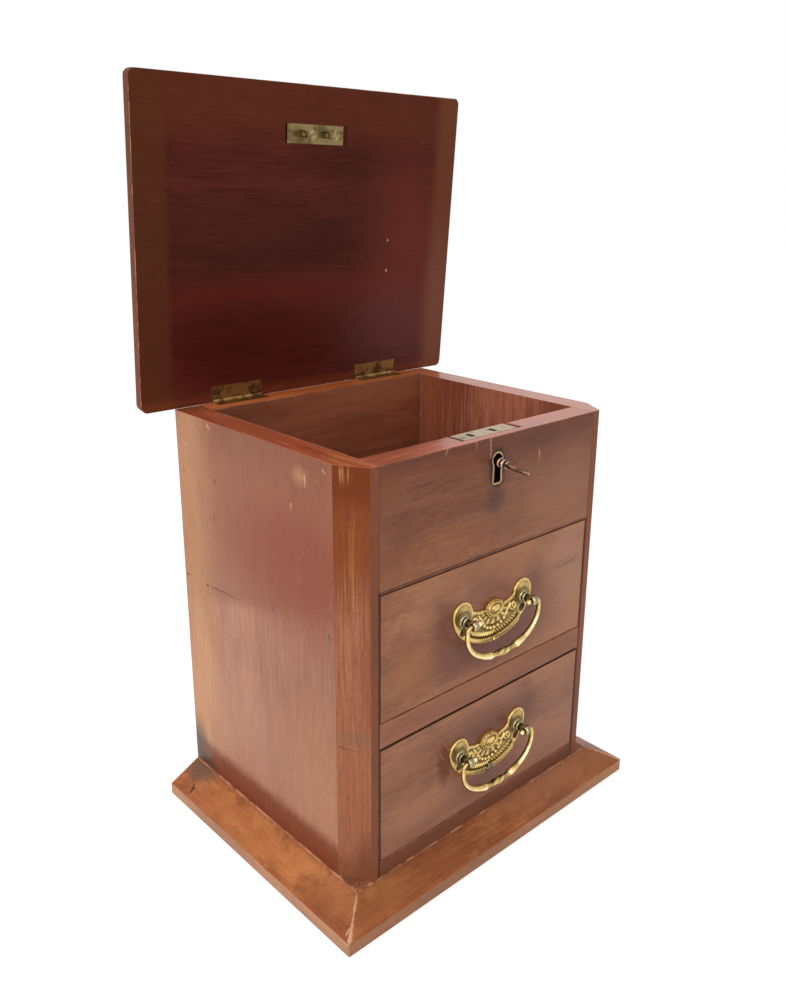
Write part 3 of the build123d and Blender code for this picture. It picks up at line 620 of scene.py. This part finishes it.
def worn_board(node, faces, edge_material, edge=0.5, least=9.0, sharp=None):
    """Copy of a wooden solid with its long edges rounded, and a material for each way that it faces.

    Edges whose middle passes the sharp test are left as they are.
    """
    weld, flat, least_turn = 0.002 * MM, radians(1.0), radians(25)
    work = bmesh.new()
    work.from_mesh(frame["nodes"][node].data)
    bmesh.ops.remove_doubles(work, verts=work.verts, dist=weld)
    bmesh.ops.dissolve_limit(work, angle_limit=flat, verts=work.verts, edges=work.edges)
    worn = [side for side in work.edges
            if len(side.link_faces) == 2 and side.is_convex and side.calc_length() > least * MM
            and side.calc_face_angle() > least_turn
            and not (sharp and sharp((side.verts[0].co + side.verts[1].co) / 2 / MM))]
    made = bmesh.ops.bevel(work, geom=worn, offset=edge * MM, offset_type="OFFSET", segments=2, profile=0.5,
                           affect="EDGES", clamp_overlap=False)
    edges = set(made["faces"])
    work.normal_update()
    for face in work.faces:
        facing = [face.normal.dot(Vector(way).normalized()) for way in faces]
        face.material_index = len(faces) if face in edges else facing.index(max(facing))
    return show(f"{node}_worn", work, node, [*faces.values(), edge_material])


def finish(material, nodes):
    for name in nodes:
        materials = frame["nodes"][name].data.materials
        materials.clear()
        materials.append(looks[material])


# Boards of one hue: grain, seed, colour, then roughness, gloss, coat, spread, and the heights of painted gap
# shade with grime
for name, *board in (
        # The back rim is brighter and more orange than the others: painted light, outweighing the open lid's
        # shadow on it
        ("rim_back_painted_light", "X", 3.9, (214, 112, 58), 0.4, 0.3, 0.2),
        ("rim_front", "X", 3.7, (196, 106, 75), 0.36, 0.35, 0.25, 0.3),
        ("inner_back", "X", 5.9, (142, 80, 55), 0.5, 0.12),
        # The rail is darker along its lower edge: painted shade of the gap over the lower drawer, with some
        # grime
        ("rail", "X", 9.1, (153, 97, 69), 0.45, 0.2, 0.03, 0.22, (100.6, 99.8)),
        ("low_rail", "X", 9.6, (116, 66, 42), 0.45, 0.2, 0.03),
        ("base_top", "X", 4.7, (140, 88, 62), 0.5, 0.15),
        ("base_rim_side", "Y", 4.9, (174, 124, 95), 0.55, 0.15, 0.0, 0.16),
        ("base_rim_front", "X", 5.3, (174, 121, 87), 0.55, 0.15, 0.0, 0.2),
        ("lid_top", "X", 6.9, (128, 70, 50), 0.38, 0.3, 0.4),
        ("lid_side", "X", 7.7, (104, 56, 36), 0.5, 0.1),
        ("lining", "Y", 7.1, (126, 82, 58), 0.65),
        ("back", "Z", 7.9, (124, 74, 52), 0.5, 0.2)):
    plain_wood(name, *board)
worn_edge("case_edge", 6.6, (128, 72, 50), (196, 132, 98), 0.5)
# The drawers' arris is dark: painted shade of the gap round each drawer, rubbed through to pale wood in
# places
worn_edge("drawer_edge_painted_shade", 6.1, (58, 30, 20), (150, 96, 66), 0.5)
worn_edge("base_edge", 6.3, (150, 86, 50), (220, 162, 124), 0.7)
worn_edge("lid_edge", 7.5, (84, 40, 26), (196, 140, 100), 0.8)
base_wood("base_side", "Y", 4.2, "X")
base_wood("base_front", "X", 5.2, "Y")
for wood in (corner_wood, rim_wood, inner_wood, stile_wood, top_panel_wood, upper_drawer_wood,
             lower_drawer_wood, lid_wood):
    wood()
cast_metal("handle_brass", (106, 87, 50), (152, 129, 80), (224, 190, 120), 0.28)
# The bail's top colour, near white, is a painted highlight
cast_metal("bail_brass", (70, 56, 32), (160, 136, 84), (228, 194, 120), 0.24, (250, 230, 178))
cast_metal("leaf_metal", (58, 54, 46), (98, 92, 78), (140, 132, 112), 0.4)
cast_metal("post_brass", (36, 32, 22), (108, 98, 68), (184, 170, 132), 0.22)
cast_metal("escutcheon_brass", (40, 30, 18), (112, 94, 58), (176, 150, 102), 0.22)
cast_metal("key_iron", (44, 26, 20), (96, 62, 50), (204, 172, 154), 0.3)
sheet_metal("selvage_metal", (188, 164, 134), (152, 130, 102), 0.32, (0.5, 0.7))
sheet_metal("striker_brass", (140, 122, 82), (104, 88, 54), 0.4)
sheet_metal("screw_metal", (168, 150, 104), (118, 100, 64), 0.34)
sheet_metal("old_screw_metal", (112, 90, 58), (72, 55, 36), 0.45)
sheet_metal("hinge_brass", (156, 118, 70), (94, 66, 40), 0.42)
sheet_metal("dark_steel", (110, 98, 82), (64, 54, 44), 0.4)

left, right, front, back, up, down = (-1, 0, 0), (1, 0, 0), (0, -1, 0), (0, 1, 0), (0, 0, 1), (0, 0, -1)
lid_under, lid_top = (0, -0.997, -0.077), (0, 0.997, 0.077)


def at_back(spot):
    """The back panel's rear edges, beside the open lid."""
    return spot.y > 90


def at_mitre(spot):
    """The joints at the base's front corners."""
    return abs(spot.x) > 100.5 and spot.y < -74.5


def at_lid_foot(spot):
    """The open lid's lower edges, beside the case."""
    return spot.z < 258


sides = (("left", -1, left, right), ("right", 1, right, left))
for side, hand, outward, inward in sides:
    side_wood(f"side_{side}", hand)
    worn_board(f"case_side_{side}", {
        outward: f"side_{side}", inward: "inner", (hand * 16.5, -10, 0): "corner", front: "strip",
        back: "back", up: "rim", down: "inner"}, "case_edge")
worn_board("front_panel", {front: "top_panel", back: "inner", up: "rim_front", down: "rail"},
           "case_edge")
worn_board("back_panel", {front: "inner_back", back: "back", up: "rim_back_painted_light", down: "rail"},
           "case_edge", sharp=at_back)
worn_board("drawer_rail", {front: "rail", up: "lining", down: "lining"}, "case_edge")
worn_board("bottom_board", {front: "low_rail", up: "lining", down: "lining"}, "case_edge")
for level in ("upper", "lower"):
    worn_board(f"{level}_drawer_front", {
        front: f"{level}_drawer", back: "lining", up: "rail"}, "drawer_edge_painted_shade", 0.8)
for side, hand, outward, inward in sides:
    worn_board(f"base_moulding_{side}", {
        (hand * 10.6, 0, 20): "base_side", outward: "base_rim_side", up: "base_top", back: "base_top",
        down: "lining"}, "base_edge", 0.6, sharp=at_mitre)
worn_board("base_moulding_front", {
    (0, -10.6, 17): "base_front", front: "base_rim_front", up: "base_top", down: "lining"}, "base_edge", 0.6,
    sharp=at_mitre)
lid = worn_board("lid_panel", {lid_under: "lid", lid_top: "lid_top", left: "lid_side",
                                           right: "lid_side", up: "lid_side", down: "lid_side"},
                 "lid_edge", least=60.0, sharp=at_lid_foot)
# The lid's inner lower arris meets the back rim without a gap when it stands open
lid_sag = 0.6 * MM
sag_below = 257.5 * MM
sag_before = 96.0 * MM
for vertex in lid.data.vertices:
    if vertex.co.z < sag_below and vertex.co.y < sag_before:
        vertex.co.z -= lid_sag

names = sorted(frame["nodes"])
finish("base_top", ["base_board"])
finish("lining", [n for n in names if "_drawer_" in n and not n.endswith("front")])
finish("lining", ["runner_left", "runner_right", "compartment_floor", "drawer_stops"])
finish("hinge_brass", [n for n in names if n.startswith("hinge_")])
finish("striker_brass", ["striker_plate"])
finish("selvage_metal", ["lock_plate"])
finish("screw_metal", ["striker_screws", "lock_screws"])
finish("old_screw_metal", ["upper_handle_screws", "lower_handle_screws"])
finish("dark_steel", ["lock_box", "lock_bolt", "lock_drill_pin", "base_screws"])

# Handles, drawn flat in millimetres: the line through the posts is at height 0, and Z stands off the drawer
half_centres = 24.6
plate_thickness = 1.7
ear_centre = (half_centres, 3.2)
ear_radius = 7.8
plate_low, plate_belly, plate_foot = (0.0, -19.8), (12.6, -17.9), (24.0, -12.2)
plate_flank, plate_side = (29.5, -6.0), (32.3, 2.0)
plate_neck, plate_bend, plate_waist = (17.1, 3.8), (13.6, 2.0), (9.0, 1.1)
medallion = (7.4, 5.3)
medallion_rise = 0.4
teeth = 22
post_standoff = 9.5
eye_half_width = 2.0
screw_y = -7.0


def new_work():
    work = bmesh.new()
    return work, work.verts.layers.float.new("proud")


def add_point(work, layer, spot, proud):
    vertex = work.verts.new(spot)
    vertex[layer] = proud
    return vertex


def turns(count):
    return [2 * pi * k / count for k in range(count)]


def unit(value):
    return max(0.0, min(1.0, value))


def smooth(value, low, high):
    part = unit((value - low) / (high - low))
    return part * part * (3 - 2 * part)


def dome(share, rise):
    """Height of a round bead; the share is 0 at its middle and 1 at its edge."""
    return rise * max(0.0, 1 - share) ** 0.5


def skin(work, rings, closed=False):
    """Faces between rings of vertices, with its two ends capped or joined to each other."""
    around = len(rings[0])
    following = rings[1:] + rings[:1] if closed else rings[1:]
    for ring, after in zip(rings, following):
        for k in range(around):
            work.faces.new((ring[k], ring[(k + 1) % around], after[(k + 1) % around], after[k]))
    if not closed:
        work.faces.new(rings[0])
        work.faces.new(rings[-1])


def show_cast(name, work, node, material, limit=50.0, replaces=True):
    bmesh.ops.recalc_face_normals(work, faces=work.faces)
    show(name, work, node, [material], limit, replaces)


def lathe(work, layer, profile, place, closed=False, sides=28):
    """Adds a turned shape; its profile's points are (along the axis, radius, how proud)."""
    rings = [[add_point(work, layer, place @ Vector((radius * cos(turn), radius * sin(turn), along)), proud)
              for turn in turns(sides)] for along, radius, proud in profile]
    skin(work, rings, closed)


def tube(work, layer, points, place, closed=False, sides=18, squash=1.0, flute=None, painted_light=None):
    """Adds a bar along a flat path; its points are (x, y, z, radius, how proud)."""
    rings = []
    last = len(points) - 1
    for i, (x, y, z, radius, proud) in enumerate(points):
        before = points[i - 1] if closed or i else points[0]
        after = points[(i + 1) % len(points)] if closed or i < last else points[last]
        run = Vector((after[0] - before[0], after[1] - before[1], 0)).normalized()
        aside = Vector((-run.y, run.x, 0))
        ring = []
        for turn in turns(sides):
            cut = flute(x, y, turn) if flute else 0.0
            painted_shine = painted_light(x, turn) if painted_light else 0.0
            wide = radius * (1 - cut)
            spot = Vector((x, y, z)) + aside * cos(turn) * wide + Vector((0, 0, sin(turn) * wide * squash))
            # Each ring is lighter on its outward side and darker on the side towards the drawer: painted
            # light and shade; the passed painted-light function adds painted highlights
            ring.append(add_point(work, layer, place @ spot, unit(proud + 0.2 * sin(turn) + painted_shine - 3.0 * cut)))
        rings.append(ring)
    skin(work, rings, closed)


def rounded(corners, radii, runs=8, steps=8):
    """Points along a path of straight runs whose corners are rounded to the given radii."""
    corners = [Vector(corner) for corner in corners]
    start = corners[0]
    points = []
    for before, corner, after, radius in zip(corners, corners[1:], corners[2:], radii):
        coming = (corner - before).normalized()
        going = (after - corner).normalized()
        half = coming.angle(going) / 2
        first = corner - coming * radius * tan(half)
        last = corner + going * radius * tan(half)
        centre = corner + (going - coming).normalized() * radius / cos(half)
        points += [start.lerp(first, i / runs) for i in range(runs)]
        points += [centre + (first - centre).slerp(last - centre, i / steps).normalized() * radius
                   for i in range(steps)]
        start = last
    return points + [start.lerp(corners[-1], i / runs) for i in range(runs + 1)]


def circle_through(a, b, c):
    """Centre and radius of the circle through three points."""
    (ax, ay), (bx, by), (cx, cy) = a, b, c
    turn = 2 * (ax * (by - cy) + bx * (cy - ay) + cx * (ay - by))
    x = ((ax**2 + ay**2) * (by - cy) + (bx**2 + by**2) * (cy - ay) + (cx**2 + cy**2) * (ay - by)) / turn
    y = ((ax**2 + ay**2) * (cx - bx) + (bx**2 + by**2) * (ax - cx) + (cx**2 + cy**2) * (bx - ax)) / turn
    return x, y, ((ax - x)**2 + (ay - y)**2) ** 0.5


def arc(start, through, end, step=0.45):
    """Points on the arc from start, through a second point, up to but without the end."""
    x, y, radius = circle_through(start, through, end)
    first, middle, last = [atan2(p[1] - y, p[0] - x) for p in (start, through, end)]
    sweep = (last - first) % (2 * pi)
    if (middle - first) % (2 * pi) > sweep:
        sweep -= 2 * pi
    count = max(3, int(abs(sweep) * radius / step))
    return [(x + radius * cos(first + sweep * i / count), y + radius * sin(first + sweep * i / count))
            for i in range(count)]


def plate_outline():
    ear_top = (half_centres, ear_centre[1] + ear_radius)
    half = arc(plate_low, plate_belly, plate_foot) + arc(plate_foot, plate_flank, plate_side)
    half += arc(plate_side, ear_top, plate_neck) + arc(plate_neck, plate_bend, plate_waist)
    across, rise = medallion
    start = 0.13
    count = 30
    for i in range(count):
        turn = start + (pi / 2 - start) * i / count
        scallop = 1.0 + 0.035 * cos(teeth * turn)
        half.append((across * scallop * cos(turn), medallion_rise + rise * scallop * sin(turn)))
    half.append((0.0, medallion_rise + rise))
    return half + [(-x, y) for x, y in reversed(half[1:-1])]


def scroll(hand):
    """Points of a C-scroll beside the medallion: a spiral that runs out into a long stem."""
    count = 26
    points = []
    for i in range(count + 1):
        turn = 2.6 + 7.6 * i / count
        reach = 3.0 - 2.3 * i / count
        points.append((hand * (15.6 + reach * cos(turn)), -2.6 + reach * sin(turn)))
    return points + [(hand * (13.0 - 0.45 * i), -1.2 - 0.30 * i - 0.035 * i * i) for i in range(10)]


# Beads round the foot of the medallion, and a larger one on the band: (x, y, radius, rise)
beads = [(1.62 * medallion[0] * cos(turn), medallion_rise + 2.25 * medallion[1] * sin(turn), 1.3, 1.25)
         for turn in [radians(-90 + 14.5 * k) for k in range(-4, 5)]] + [(-0.4, -18.6, 1.2, 2.0)]
scrolls = scroll(-1) + scroll(1)
foot_x, foot_y, foot_radius = circle_through(plate_low, plate_belly, plate_foot)


def band_relief(across, y):
    """Smooth band along the plate's lower edge, a groove above it, then a row of leaves."""
    offset = foot_radius - hypot(across - foot_x, y - foot_y)
    if y >= -4 or offset >= 9:
        return 0.0
    walk = foot_radius * atan2(across - foot_x, foot_y - y)
    reach = smooth(across, 22.6, 20.6)
    band = 1.25 * reach * smooth(offset, -0.1, 0.6) * smooth(offset, 3.4, 3.0)
    veins = 0.62 + 0.38 * cos(2 * pi * (walk / 2.4 + 0.3 * offset))
    leaves = 0.8 * smooth(across, 19.5, 17.5) * smooth(abs(offset - 5.6), 1.9, 0.7) * veins
    return max(band, leaves) - 0.4 * reach * smooth(abs(offset - 3.7), 0.5, 0.1)


def medallion_relief(x, y, relief):
    """Shell, toothed rim, ring and oval boss, laid over the relief round them."""
    rise = y - medallion_rise
    oval = hypot(x / medallion[0], rise / medallion[1])
    if oval >= 2.1:
        return relief
    turn = atan2(rise / medallion[1], x / medallion[0])
    shell = 0.85 * smooth(oval, 1.95, 1.7) * smooth(-sin(turn), 0.1, 0.4) * (0.66 + 0.34 * cos(15 * turn))
    rim = 1.55 * smooth(abs(oval - 0.93), 0.11, 0.03) * (0.84 + 0.16 * cos(teeth * turn))
    groove = 1.1 * smooth(oval, 0.86, 0.80)
    ring = 1.6 * smooth(abs(oval - 0.74), 0.11, 0.04)
    bulge = ((x - 0.2) / 4.0)**2 + (rise / 2.6)**2
    boss = smooth(bulge, 1.0, 0.9) + dome(bulge, 1.1)
    boss -= 0.45 * smooth(abs(bulge - 0.5), 0.2, 0.05) * smooth(-rise, -0.6, 0.4)
    return max(relief * smooth(oval, 1.0, 1.1), shell * smooth(oval, 1.0, 1.08), rim, groove, ring, boss)


def plate_relief(x, y):
    """Height of the cast ornament above the plate at one point."""
    near = min(hypot(x - px, y - py) for px, py in scrolls)
    relief = max(band_relief(abs(x), y), 1.15 * smooth(near, 1.25, 0.3))
    for bead_x, bead_y, radius, rise in beads:
        relief = max(relief, dome(((x - bead_x)**2 + (y - bead_y)**2) / radius**2, rise))
    return medallion_relief(x, y, relief)


def plate_height(x, y, inside):
    """Height of the plate with its dished ears, its screw holes and its ornament."""
    across = abs(x)
    from_ear = hypot(across - ear_centre[0], y - ear_centre[1])
    from_post = (across - half_centres)**2 + y**2
    dish = smooth(from_ear, 7.3, 6.3) * smooth(across, 17.0, 19.0) * smooth(from_post, 14.0, 26.0)
    screw = hypot(across - half_centres, y - screw_y)
    height = plate_thickness - 0.4 * dish * smooth(y, -7.0, -3.0) - 0.8 * smooth(screw, 2.9, 2.3)
    return (height + plate_relief(x, y)) * smooth(inside, -0.5, 0.8) ** 0.5


def plate_drawing():
    """The backplate's front as points, how proud each stands, and faces."""
    outline = plate_outline()
    tree = KDTree(len(outline))
    for i, (x, y) in enumerate(outline):
        tree.insert((x, y, 0), i)
    tree.balance()
    points = [Vector(p) for p in outline]
    step = 0.38
    half_reach, lowest = 34, -21
    for row in range(int(half_reach / step)):
        for column in range(int(2 * half_reach / step)):
            spot = (-half_reach + step * (column + 0.5 * (row % 2)), lowest + step * row)
            if tree.find((*spot, 0))[2] > 0.55 * step:
                points.append(Vector(spot))
    places, edges, faces, *_ = delaunay_2d_cdt(points, [], [list(range(len(outline)))], 1, 1e-6)
    insides = [tree.find((place.x, place.y, 0))[2] for place in places]
    heights = [plate_height(place.x, place.y, inside) for place, inside in zip(places, insides)]
    beside = [set() for _ in places]
    for a, b in edges:
        beside[a].add(b)
        beside[b].add(a)
    level = list(heights)
    smoothings = 14
    for _ in range(smoothings):
        level = [(level[i] + sum(level[j] for j in near)) / (1 + len(near)) for i, near in enumerate(beside)]
    prouds = []
    for place, inside, height, around in zip(places, insides, heights, level):
        across = abs(place.x)
        plain = 0.6 if across > 17.5 else 0.52
        band = smooth(height, 2.6, 2.9) * smooth(-place.y, 6.0, 11.0)
        carved = 0.75 * (height - around) / 0.4 if inside > 1.3 else 0.25
        # Painted shade: the plate is darker round each post
        post_shade = smooth(hypot(across - half_centres, place.y), 6.5, 4.0)
        prouds.append(unit(plain + carved + 0.5 * band - 0.45 * post_shade))
    return [(place.x, place.y, height) for place, height in zip(places, heights)], prouds, faces


plate_points, plate_prouds, plate_faces = plate_drawing()


def relief_plate(handle, place):
    work, layer = new_work()
    top = [add_point(work, layer, place @ Vector(point), proud)
           for point, proud in zip(plate_points, plate_prouds)]
    for face in plate_faces:
        work.faces.new([top[i] for i in face])
    made = bmesh.ops.extrude_edge_only(work, edges=[side for side in work.edges if side.is_boundary])
    for item in made["geom"]:
        if isinstance(item, bmesh.types.BMVert):
            item.co.y = place.translation.y
    show_cast(f"{handle}_backplate_cast", work, f"{handle}_backplate", "handle_brass", 40.0)


# A bail hangs as a flattened half ring; its thickness goes as (distance from the middle, radius)
ring_half_width = 29.8
ring_level = -5.0
ring_depth = 18.8
ring_power = 2 / 2.15
ring_swellings = ((0.0, 2.25), (3.0, 2.2), (5.6, 1.6), (6.8, 1.35), (8.2, 1.6), (11.2, 2.35), (14.5, 2.1),
                  (19.0, 1.75), (31.0, 1.35))
pivot_radius = 1.1
ball_radius = 1.7
ball_x = half_centres - eye_half_width - 0.3 - ball_radius


def bail_points():
    """Right half of the bail, from the middle of its foot to the ball in the post's eye."""
    count = 64
    spots = []
    for i in range(count):
        turn = pi / 2 * i / count
        spots.append(Vector((ring_half_width * sin(turn) ** ring_power,
                             ring_level - ring_depth * cos(turn) ** ring_power)))
    spots += rounded(((ring_half_width, ring_level), (ring_half_width, 0.0), (26.9, 0.0)), (2.8,), 3, 10)
    points = []
    for spot in spots:
        for (start, wide), (end, next_wide) in zip(ring_swellings, ring_swellings[1:]):
            if start <= spot.x < end:
                radius = wide + (next_wide - wide) * smooth(spot.x, start, end)
        radius -= 0.25 * smooth(spot.y, -6.0, 0.0)
        points.append((spot.x, spot.y, post_standoff, radius, 0.5 + 0.4 * (radius - 1.6)))
    points += [(x, 0.0, post_standoff, pivot_radius, proud)
               for x, proud in ((26.4, 0.3), (24.6, 0.2), (ball_x + 1.75, 0.2))]
    for i in range(9):
        turn = pi * (0.22 + 0.76 * i / 8)
        points.append((ball_x + ball_radius * cos(turn), 0.0, post_standoff, ball_radius * sin(turn), 0.8))
    return points


def leaf_cut(x, y, turn):
    """Depth of the leaf carving round the middle of the bail."""
    if y > -18:
        return 0.0
    across = abs(x)
    middle = smooth(across, 6.4, 5.0) * (0.5 - 0.5 * cos(3 * turn + 1.1 * x))
    vein = smooth(abs(sin(1.5 * turn + 0.16 * across)), 0.35, 0.0)
    return 0.16 * middle + 0.14 * smooth(across, 7.4, 9.0) * smooth(across, 15.5, 12.5) * vein


def lobe(turn, power):
    return max(0.0, cos(turn)) ** power


def bail_painted_light(x, turn):
    """Painted highlights where the bail reflects the window, on its right arm, its bead and its left arm, and
    a painted dark line inside its curve.
    """
    bright = 0.62 * max(smooth(abs(x - 24), 7.5, 4.0), smooth(abs(x - 11.5), 2.6, 0.8))
    painted_glints = max(bright * lobe(turn - 1.05, 4), 0.4 * smooth(-x, 2.0, 12.0) * lobe(turn - 2.3, 4))
    return painted_glints - 0.36 * lobe(turn + 0.1, 6)


def cast_bail(handle, place):
    half = bail_points()
    work, layer = new_work()
    tube(work, layer, [(-x, *rest) for x, *rest in reversed(half[1:])] + half, place, flute=leaf_cut,
         painted_light=bail_painted_light)
    show_cast(f"{handle}_bail_cast", work, f"{handle}_bail", "bail_brass", 60.0)


stem_profile = ((-4.0, 1.5, 0.0), (1.6, 1.5, 0.0), (1.62, 3.5, 0.4), (1.9, 3.65, 0.9), (2.3, 3.6, 1.0),
                (2.7, 3.2, 0.7), (3.0, 2.6, 0.0), (3.35, 2.55, 0.0), (3.6, 2.95, 0.8), (4.0, 3.1, 1.0),
                (4.4, 2.95, 0.8), (4.75, 2.2, 0.1), (5.2, 1.9, 0.0), (6.0, 1.9, 0.3), (6.9, 2.2, 0.5),
                (8.2, 1.6, 0.3))
eye_half = ((-1.6, 1.4, 0.0), (-1.95, 1.7, 0.5), (-2.0, 2.1, 1.0), (-1.75, 2.6, 1.0), (-1.0, 2.95, 0.7))
eye_profile = (*eye_half, (0.0, 3.1, 0.6), *((-along, *rest) for along, *rest in reversed(eye_half)))


def turned_posts(handle, place):
    work, layer = new_work()
    for x in (-half_centres, half_centres):
        lathe(work, layer, stem_profile, place @ Matrix.Translation((x, 0, 0)))
        eye = Matrix.Translation((x, 0, post_standoff)) @ Matrix.Rotation(pi / 2, 4, "Y")
        lathe(work, layer, eye_profile, place @ eye, closed=True)
    show_cast(f"{handle}_posts_turned", work, f"{handle}_posts", "post_brass")


def band_leaf(handle, place):
    """Small dark leaf riveted over the middle of the lower handle's band."""
    work, layer = new_work()
    leaf_reach = 2.7
    leaf_y = -17.6
    rings = []
    for share, height, proud in ((1.0, 1.6, 0.2), (1.0, 3.1, 0.4), (0.85, 3.6, 0.7), (0.5, 3.9, 0.6),
                                 (0.1, 4.0, 0.8)):
        ring = []
        for turn in turns(36):
            reach = leaf_reach * share * (1 + 0.2 * cos(3 * turn + pi / 2))
            spot = place @ Vector((reach * cos(turn), leaf_y + reach * sin(turn), height))
            ring.append(add_point(work, layer, spot, proud + 0.3 * cos(6 * turn)))
        rings.append(ring)
    skin(work, rings)
    show_cast(f"{handle}_leaf", work, f"{handle}_backplate", "leaf_metal", replaces=False)


for handle in ("upper_handle", "lower_handle"):
    post_low, post_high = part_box(f"{handle}_posts")
    centre = (0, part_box(f"{handle}_backplate")[1][1], (post_low[2] + post_high[2]) / 2)
    place = Matrix.Translation(centre) @ Matrix.Rotation(pi / 2, 4, "X") @ Matrix.Scale(MM, 4)
    relief_plate(handle, place)
    turned_posts(handle, place)
    cast_bail(handle, place)
    if handle == "lower_handle":
        band_leaf(handle, place)

# Escutcheon: a rounded brass rim let in round the keyhole, flush at its edges
keyhole_z = 241.8
panel_y = -74.0
keyhole_radius = 3.3
keyhole_height = 16.2
rim_width = 1.4


def keyhole_loop(grow):
    """Keyhole's outline, grown outwards, as points (x, height above the middle of its head)."""
    radius = keyhole_radius + grow
    waist, foot = 2.3 + grow, 2.8 + grow
    drop = keyhole_height - keyhole_radius + grow
    lean = foot - waist
    a, b, c = lean**2 + drop**2, 2 * waist * lean, waist**2 - radius**2
    share = (-b + (b * b - 4 * a * c) ** 0.5) / (2 * a)
    meet = Vector((waist + lean * share, -drop * share))
    foot_radii = (0.8 + grow, 0.8 + grow)
    skirt = rounded((Vector((-meet.x, meet.y)), (-foot, -drop), (foot, -drop), meet), foot_radii, 6, 6)
    start = atan2(meet.y, meet.x)
    count = 30
    head = [start + (pi - 2 * start) * i / count for i in range(1, count)]
    return skirt + [Vector((radius * cos(turn), radius * sin(turn))) for turn in head]


work, layer = new_work()
skin(work, [[add_point(work, layer, Vector((spot.x, panel_y - ahead, keyhole_z + spot.y)) * MM, proud)
             for spot in keyhole_loop(grow)]
            for grow, ahead, proud in (
                (0.0, -3.9, 0.0), (0.0, -0.2, 0.3), (0.2, 0.15, 0.9), (0.55, 0.35, 1.0), (0.9, 0.3, 0.9),
                (1.25, 0.05, 0.4), (rim_width, -0.3, 0.0), (rim_width, -3.9, 0.0))], closed=True)
show_cast("escutcheon_rim", work, "escutcheon", "escutcheon_brass")

# Key: drawn along its own axis from the panel's face outwards, then turned and drooped as it rests
key_pivot = Vector((0.0, -62.75, keyhole_z))
key_droop = radians(6.0)
key_turn = radians(-68.6)
key_place = (Matrix.Scale(MM, 4) @ Matrix.Translation(key_pivot) @ Matrix.Rotation(key_droop, 4, "X")
             @ Matrix.Rotation(key_turn, 4, "Y") @ Matrix.Translation((0, panel_y - key_pivot.y, 0))
             @ Matrix.Rotation(pi / 2, 4, "X"))
collar_profile = ((-13.9, 1.25, 0.2), (-13.9, 1.8, 0.3), (-1.0, 1.8, 0.3), (1.0, 1.85, 0.4), (1.3, 2.5, 0.8),
                  (1.8, 2.7, 1.0), (2.3, 2.5, 0.8), (2.6, 2.0, 0.3), (3.4, 2.0, 0.4), (3.9, 2.55, 0.9),
                  (4.5, 2.65, 1.0), (5.0, 2.3, 0.7), (5.3, 1.9, 0.3), (6.2, 1.9, 0.5), (6.7, 2.2, 0.9),
                  (7.2, 2.2, 0.9), (7.8, 1.5, 0.4))
bow_middle = 14.0
bow_reach = 6.3
work, layer = new_work()
lathe(work, layer, collar_profile, key_place, sides=20)
bow = [(bow_reach * sin(turn), bow_middle + bow_reach * cos(turn), 0.0, 1.0 + 0.15 * cos(turn) ** 8,
        0.35 + 0.3 * cos(turn) ** 8) for turn in turns(40)]
bow_place = key_place @ Matrix.Rotation(pi / 2, 4, "Z") @ Matrix.Rotation(pi / 2, 4, "X")
tube(work, layer, bow, bow_place, closed=True, sides=12, squash=0.8)
bit = Matrix.Translation((0, 3.95, -11.3)) @ Matrix.Diagonal((1.5, 5.1, 5.2, 1.0))
bmesh.ops.create_cube(work, size=1.0, matrix=key_place @ bit)
show_cast("key_turned", work, "key", "key_iron")


def seen_ray(nodes):
    """1 for what the camera sees directly, in a mirror or through glass."""
    path = nodes.node("LightPath").outputs
    seen = nodes.math("MAXIMUM", path["Is Camera Ray"], path["Is Glossy Ray"])
    return nodes.math("MAXIMUM", seen, path["Is Transmission Ray"])


def add_floor():
    """Pale floor that shows as white, with a soft shadow under the object."""
    mesh = bpy.data.meshes.new("floor")
    reach = 6.0
    mesh.from_pydata([(-reach, -reach, 0), (reach, -reach, 0), (reach, reach, 0), (-reach, reach, 0)], [],
                     [(0, 1, 2, 3)])
    floor = bpy.data.objects.new("floor", mesh)
    bpy.context.collection.objects.link(floor)
    s = Shader("floor")
    s.set(colour=rgb(240, 240, 238), rough=0.9, gloss=0.1)
    glow = s.node("Emission", {"Color": grey(0.79)}).outputs[0]
    shade = s.node("BsdfDiffuse", {"Color": grey(0.41)}).outputs[0]
    white = s.node("AddShader", {0: glow, 1: shade}).outputs[0]
    blend = s.node("MixShader", {0: seen_ray(s), 1: s.bsdf.outputs[0], 2: white})
    s.feed(s.tree.nodes["Material Output"].inputs["Surface"], blend.outputs[0])
    mesh.materials.append(s.material)


def add_surroundings():
    world = bpy.context.scene.world or bpy.data.worlds.new("world")
    bpy.context.scene.world = world
    world.use_nodes = True
    sky = Nodes(world.node_tree)
    plain = sky.tree.nodes["Background"]
    plain.inputs["Color"].default_value = (0.92, 0.95, 1.0, 1.0)
    plain.inputs["Strength"].default_value = 0.6
    white = sky.node("Background", {"Color": grey(1.0)}).outputs[0]
    blend = sky.node("MixShader", {0: seen_ray(sky), 1: plain.outputs[0], 2: white})
    sky.feed(sky.tree.nodes["World Output"].inputs["Surface"], blend.outputs[0])


def add_lamp(name, place, target, size, power, colour=(1.0, 1.0, 1.0)):
    data = bpy.data.lights.new(name, "AREA")
    data.shape = "DISK"
    data.size = size
    data.energy = power
    data.color = colour
    lamp = bpy.data.objects.new(name, data)
    lamp.location = place
    lamp.rotation_euler = (Vector(target) - Vector(place)).to_track_quat("-Z", "Y").to_euler()
    bpy.context.collection.objects.link(lamp)


add_floor()
add_surroundings()
middle = (0.0, 0.0, 0.15)
add_lamp("window", (-1.9, 0.3, 1.1), middle, 1.3, 26.0, (1.0, 0.99, 0.97))
add_lamp("fill", (-0.6, -2.0, 1.2), middle, 1.6, 12.0)
